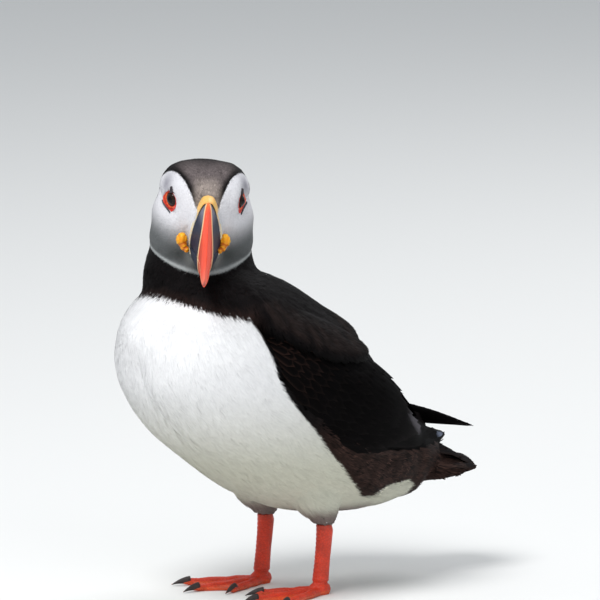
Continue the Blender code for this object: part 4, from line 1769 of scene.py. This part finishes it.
class PUFFIN_OT_eyes(bpy.types.Operator):
    """Makes the eyes, the red skin round them and the horny plates above and below"""

    bl_idname = "puffin.eyes"
    bl_label = "Eyes"

    def execute(self, context):
        for name, eye in EYES.items():
            self.ball(name, eye)
            self.ring(name, eye)
            self.plates(name, eye)
        return {"FINISHED"}

    def ball(self, name, eye):
        bm = bmesh.new()
        bmesh.ops.create_uvsphere(bm, u_segments=64, v_segments=48, radius=EYE_RADIUS)
        bm.verts.index_update()
        # The faces come in another order each run, so they are put in order by their first edge.
        count = len(bm.verts)
        bm.faces.sort(key=lambda face: face.verts[0].index * count + face.verts[1].index)
        tint_by_point(bm, iris_colour)
        for vert in bm.verts:
            rear, up, out = vert.co
            bulge = 0.35 * ease(2.4, 0.0, math.hypot(rear, up)) if out > 0 else 0.0
            vert.co = eye.place(rear, up, out + bulge)
        bmesh.ops.recalc_face_normals(bm, faces=bm.faces)
        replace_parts(finished(f"eyeball_{name}", bm, eye_material()), f"eye_{name}")

    def draped(self, eye, rear, up, lift):
        """Lays flat places round the eye on the skin."""
        away = np.hypot(rear, up)
        ball = np.sqrt(np.clip((EYE_RADIUS + 0.05) ** 2 - away**2, 0, None))
        skin = np.array([self.skin_height(eye, r, u) for r, u in zip(rear.ravel(), up.ravel())])
        return lift + np.where(away < EYE_OPENING + 0.25, np.maximum(ball, 2.0), skin)

    def skin_height(self, eye, rear, up):
        """How far out the skin lies at a place round the eye."""
        start = Vector(eye.place(rear, up, 9.0))
        found = MADE["skin"].tree.ray_cast(start, Vector(-eye.axes[2]), 0.02)[0]
        return eye.local(np.array(found))[2] if found else 1.5

    def ring(self, name, eye):
        def place(around, across):
            angle = 2 * math.pi * around
            outer = ring_reach(angle)
            inner = EYE_OPENING - 0.1
            away = inner + (outer - inner) * np.clip(across, 0, 1)
            rear, up = away * np.cos(angle), away * np.sin(angle)
            roll = 0.12 * bump(away - inner, 0.5, 0.35)
            edge = 0.1 * bump(outer, away, 0.4)
            under = -0.9 * ease(0.93, 1.0, across)
            wrinkle = 0.04 * np.sin(angle * 31) * np.sin(math.pi * across)
            lift = 0.06 + 0.3 * ease(0, 1.2, away - inner) + roll + edge + under + wrinkle
            lift = lift - 0.4 * ease(0.06, 0.0, across)
            return eye.place(rear, up, self.draped(eye, rear, up, lift))

        bm = welded(shaped_grid(120, 12, place), fill=False)

        def colour(points):
            rear, up, _ = eye.local(points)
            away, reach = np.hypot(rear, up), ring_reach(np.arctan2(up, rear))
            inner = away - EYE_OPENING
            # Painted shade in the hollow beyond the rolled lid.
            hollow_shade = bump(inner, 1.15, 0.45) * ease(0.6, 1.6, reach - away + 0.8)
            tone = mix_colour(srgb(222, 48, 30), srgb(150, 24, 18), 0.8 * hollow_shade)
            bright = ease(0.9, 0.5, np.abs(inner - 0.5) + 0.4) * ease(-2, 2, rear - up * 0.8)
            tone = mix_colour(tone, srgb(246, 104, 48), np.clip(bright * 2.2, 0, 1))
            tone = mix_colour(tone, srgb(240, 82, 32), 0.8 * ease(3.6, 6.2, rear))
            above = ease(1.0, 3.2, up) * ease(3.5, 1.0, rear)
            tone = mix_colour(tone, srgb(132, 26, 20), 0.8 * above)
            front = bump(rear, -2.6, 1.3) * bump(up, -3.6, 1.5)
            tone = mix_colour(tone, srgb(236, 92, 96), 0.8 * front)
            return mix_colour(tone, srgb(40, 8, 6), ease(0.22, 0.0, inner))

        finished(f"eye_ring_{name}", tint_by_point(bm, colour), fleshy_material())

    def plates(self, name, eye):
        """The horny plate above the eye and the narrow one below it."""

        def upper(across, length):
            up = 3.3 + 3.3 * length
            half = mix(1.35, 0.6, length) * ease(1.12, 0.9, length) ** 0.5
            rear = -0.7 - 0.2 * length + half * (2 * across - 1)
            round_off = np.sin(math.pi * np.clip(across, 0, 1)) ** 0.4 * ease(1.0, 0.85, length)
            ribs = 0.09 * np.sin(across * math.pi * 9)
            return eye.place(rear, up, self.draped(eye, rear, up, 1.9 * round_off - 0.8 + ribs))

        def lower(across, length):
            first, last = np.array((7.5, -1.1)), np.array((0.9, -6.3))
            run = (last - first) / np.linalg.norm(last - first)
            off = np.array((run[1], -run[0]))
            centre = first + (last - first) * length[:, None]
            half = 0.55 * np.sin(math.pi * np.clip(length, 0.03, 0.97)) ** 0.35
            spot = centre - off * (half * (2 * across - 1))[:, None]
            round_off = np.sin(math.pi * np.clip(across, 0, 1)) ** 0.4
            lift = 1.5 * round_off - 0.7
            return eye.place(spot[:, 0], spot[:, 1], self.draped(eye, spot[:, 0], spot[:, 1], lift))

        for label, shape in (("upper", upper), ("lower", lower)):
            bm = shaped_grid(12, 24, shape)
            bmesh.ops.recalc_face_normals(bm, faces=bm.faces)

            def colour(points):
                rear = eye.local(points)[0]
                pale = ease(-0.6, 0.8, rear) if label == "upper" else 0.0
                tone = mix_colour(srgb(52, 48, 54), srgb(104, 96, 108), pale)
                return mix_colour(tone, srgb(84, 92, 100), 0.5 * ease(2, 6, rear))

            finished(f"eye_plate_{label}_{name}", tint_by_point(bm, colour), horn_material())


# ---------------------------------------------------------------- legs and feet

LEG_RED = srgb(224, 62, 30)
WEB_RED = srgb(226, 84, 36)
TOES = ((31, -24), (41, 0), (38, 25))  # length, and turn outwards in degrees
CLAW_LENGTH = 7.0


def heel_of(name):
    """Where the toes of a foot meet: forward and left."""
    return body_place(middle(f"leg_{name}"))[0] - 0.7, 20.0 * SIDES[name]


class PUFFIN_OT_feet(bpy.types.Operator):
    """Makes the bare legs, the webbed feet and the claws"""

    bl_idname = "puffin.feet"
    bl_label = "Legs and feet"

    def execute(self, context):
        nodes = ("leg_left", "leg_right", "foot_left", "foot_right")
        mesh = remeshed("bare_legs", nodes, voxel=0.5, grow=0.16, rounds=2)
        points, normals = values_of(mesh, "co"), values_of(mesh, "normal")
        up = points[:, 2] / MM
        front = ease(0.1, 0.6, -normals[:, 1])
        scutes = np.abs(np.sin(up * math.pi / 2.1)) ** 0.5 - 0.75
        push = 0.28 * scutes * front * ease(6, 9, up) - 0.16
        toe_lines = np.abs(np.sin(points[:, 1] / MM * math.pi / 1.7)) ** 0.5 - 0.75
        on_toe = ease(2.0, 2.8, up) * ease(6, 4.5, up) * ease(0.5, 0.9, normals[:, 2])
        push = push + 0.16 * toe_lines * on_toe
        points = points + normals * (push * MM)[:, None]
        points[:, 2] = np.maximum(points[:, 2], 0)
        set_points(mesh, points)
        tone = mix_colour(context.scene.puffin.leg_red, WEB_RED, ease(2.3, 1.7, up))
        # Painted shade at the top of the leg, under the body's feathers.
        tone = mix_colour(tone, srgb(150, 60, 44), 0.4 * ease(29, 33, up))
        tone = tone * (1 + 0.12 * ripple(points / MM, 9.0, 5))[:, None]
        set_tint(mesh, tone)
        legs = finished("bare_legs", mesh, leg_material())
        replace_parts(legs, *nodes)
        self.claws()
        return {"FINISHED"}

    def claws(self):
        whole = bmesh.new()
        for name, side in SIDES.items():
            forward, left = heel_of(name)
            for length, turn in TOES:
                angle = math.radians(turn)
                way = np.array((math.cos(angle), side * math.sin(angle)))

                def place(around, along):
                    ring = 2 * math.pi * around
                    reach = length - 2.0 + (CLAW_LENGTH + 1.8) * along
                    radius = 1.75 * (1 - along**1.3) + 0.12
                    sideways = radius * np.cos(ring) * 0.85
                    height = 2.5 - 1.9 * along**2.2 + radius * np.sin(ring) * 1.05
                    return on_body(
                        forward + way[0] * reach - way[1] * sideways,
                        left + way[1] * reach + way[0] * sideways,
                        np.maximum(height, 0.05),
                    )

                poured(whole, welded(shaped_grid(20, 14, place)))

        def colour(points):
            return np.broadcast_to(srgb(48, 42, 42), points.shape)

        finished("claws", tint_by_point(whole, colour), horn_material())


# ---------------------------------------------------------------- the stage


# The camera looks along this bearing and down by this much, in degrees, from far away.
CAMERA_TURN, CAMERA_DOWN = 53.0, 8.5
CAMERA_AWAY = 4.0
FRAME_WIDTH = 0.282  # what the picture takes in at the bird
AIM_RIGHT, AIM_UP = 0.0033, 0.1354  # middle of the picture, from the ground between the legs


# Each lamp's place and width in metres, and its power in watts.
LAMPS = {
    "key": ((0.35, -1.05, 1.75), 0.9, 29.5),
    "fill": ((1.6, -0.3, 0.9), 1.2, 3.5),
    "rim": ((-0.4, 1.3, 1.5), 0.9, 12.0),
}
LAMP_AIM = (0, 0, 0.11)


class PUFFIN_OT_stage(bpy.types.Operator):
    """Sets the floor, the light and the camera"""

    bl_idname = "puffin.stage"
    bl_label = "Stage"

    def execute(self, context):
        bm = bmesh.new()
        bmesh.ops.create_circle(bm, cap_ends=True, segments=96, radius=40.0)
        floor = bpy.data.objects.new("floor", bpy.data.meshes.new("floor"))
        bm.to_mesh(floor.data)
        bm.free()
        paint, _ = new_material("Pale floor", Base_Color=(0.80, 0.80, 0.79, 1), Roughness=0.9)
        floor.data.materials.append(paint)
        context.scene.collection.objects.link(floor)
        for name, values in LAMPS.items():
            self.light(name, *values)
        world = bpy.data.worlds.new("Soft room")
        world.use_nodes = True
        sky = world.node_tree.nodes["Background"].inputs
        sky["Color"].default_value = (0.90, 0.95, 1.0, 1)
        sky["Strength"].default_value = 0.5
        context.scene.world = world
        context.scene.view_settings.view_transform = "Standard"
        self.camera(context)
        return {"FINISHED"}

    def light(self, name, place, size, power):
        lamp = bpy.data.lights.new(name, "AREA")
        lamp.shape = "DISK"
        lamp.size = size
        lamp.energy = power
        holder = bpy.data.objects.new(name, lamp)
        holder.location = place
        aim = Vector(LAMP_AIM) - Vector(place)
        holder.rotation_euler = aim.to_track_quat("-Z", "Y").to_euler()
        bpy.context.scene.collection.objects.link(holder)

    def camera(self, context):
        turn, down = math.radians(CAMERA_TURN), math.radians(CAMERA_DOWN)
        level = math.cos(down)
        back = Vector((math.sin(turn) * level, -math.cos(turn) * level, math.sin(down)))
        right = Vector((math.cos(turn), math.sin(turn), 0))
        up = back.cross(right)
        aim = Vector((0, BODY_ZERO, 0)) + right * AIM_RIGHT + up * AIM_UP
        lens = bpy.data.cameras.new("camera")
        lens.lens = lens.sensor_width * CAMERA_AWAY / FRAME_WIDTH
        lens.clip_end = 100.0
        camera = bpy.data.objects.new("camera", lens)
        camera.location = aim + back * CAMERA_AWAY
        camera.rotation_euler = (-back).to_track_quat("-Z", "Y").to_euler()
        context.scene.collection.objects.link(camera)
        context.scene.camera = camera


# ---------------------------------------------------------------- add-on


class PuffinPlan(bpy.types.PropertyGroup):
    head_length: FloatProperty(
        name="Head feathers", description="Length of the feathers of the head",
        default=0.0024, min=0.0005, max=0.006, precision=4, unit="LENGTH",
    )
    breast_length: FloatProperty(
        name="Breast feathers", description="Length of the white feathers",
        default=0.0095, min=0.003, max=0.02, precision=4, unit="LENGTH",
    )
    back_length: FloatProperty(
        name="Back feathers", description="Length of the dark feathers",
        default=0.008, min=0.003, max=0.02, precision=4, unit="LENGTH",
    )
    white: FloatVectorProperty(
        name="White", description="Colour of the white feathers of the breast",
        default=tuple(WHITE), min=0, max=1, subtype="COLOR",
    )
    brown: FloatVectorProperty(
        name="Brown", description="Colour of the brownish feathers of the flanks",
        default=tuple(BROWN), min=0, max=1, subtype="COLOR",
    )
    red: FloatVectorProperty(
        name="Bill red", description="Colour of the red part of the bill",
        default=tuple(RED), min=0, max=1, subtype="COLOR",
    )
    leg_red: FloatVectorProperty(
        name="Leg red", description="Colour of the skin of the legs and toes",
        default=tuple(LEG_RED), min=0, max=1, subtype="COLOR",
    )
    seed: IntProperty(name="Seed", description="Start of the random draws", default=7)


STEPS = (
    PUFFIN_OT_skin,
    PUFFIN_OT_head_feathers,
    PUFFIN_OT_body_feathers,
    PUFFIN_OT_wing_feathers,
    PUFFIN_OT_tail_feathers,
    PUFFIN_OT_bill,
    PUFFIN_OT_rosettes,
    PUFFIN_OT_eyes,
    PUFFIN_OT_feet,
    PUFFIN_OT_stage,
)


class PUFFIN_PT_panel(bpy.types.Panel):
    """Lists the steps that finish the puffin"""

    bl_label = "Puffin"
    bl_idname = "PUFFIN_PT_panel"
    bl_space_type = "VIEW_3D"
    bl_region_type = "UI"
    bl_category = "Puffin"

    def draw(self, context):
        plan = context.scene.puffin
        for name in plan.bl_rna.properties.keys()[2:]:
            self.layout.prop(plan, name)
        for step in STEPS:
            self.layout.operator(step.bl_idname)


CLASSES = (PuffinPlan, *STEPS, PUFFIN_PT_panel)


def register():
    for cls in CLASSES:
        bpy.utils.register_class(cls)
    bpy.types.Scene.puffin = PointerProperty(type=PuffinPlan)


def unregister():
    del bpy.types.Scene.puffin
    for cls in reversed(CLASSES):
        bpy.utils.unregister_class(cls)


def main():
    register()
    for step in STEPS:
        group, name = step.bl_idname.split(".")
        getattr(getattr(bpy.ops, group), name)()


if __name__ == "__main__":
    main()
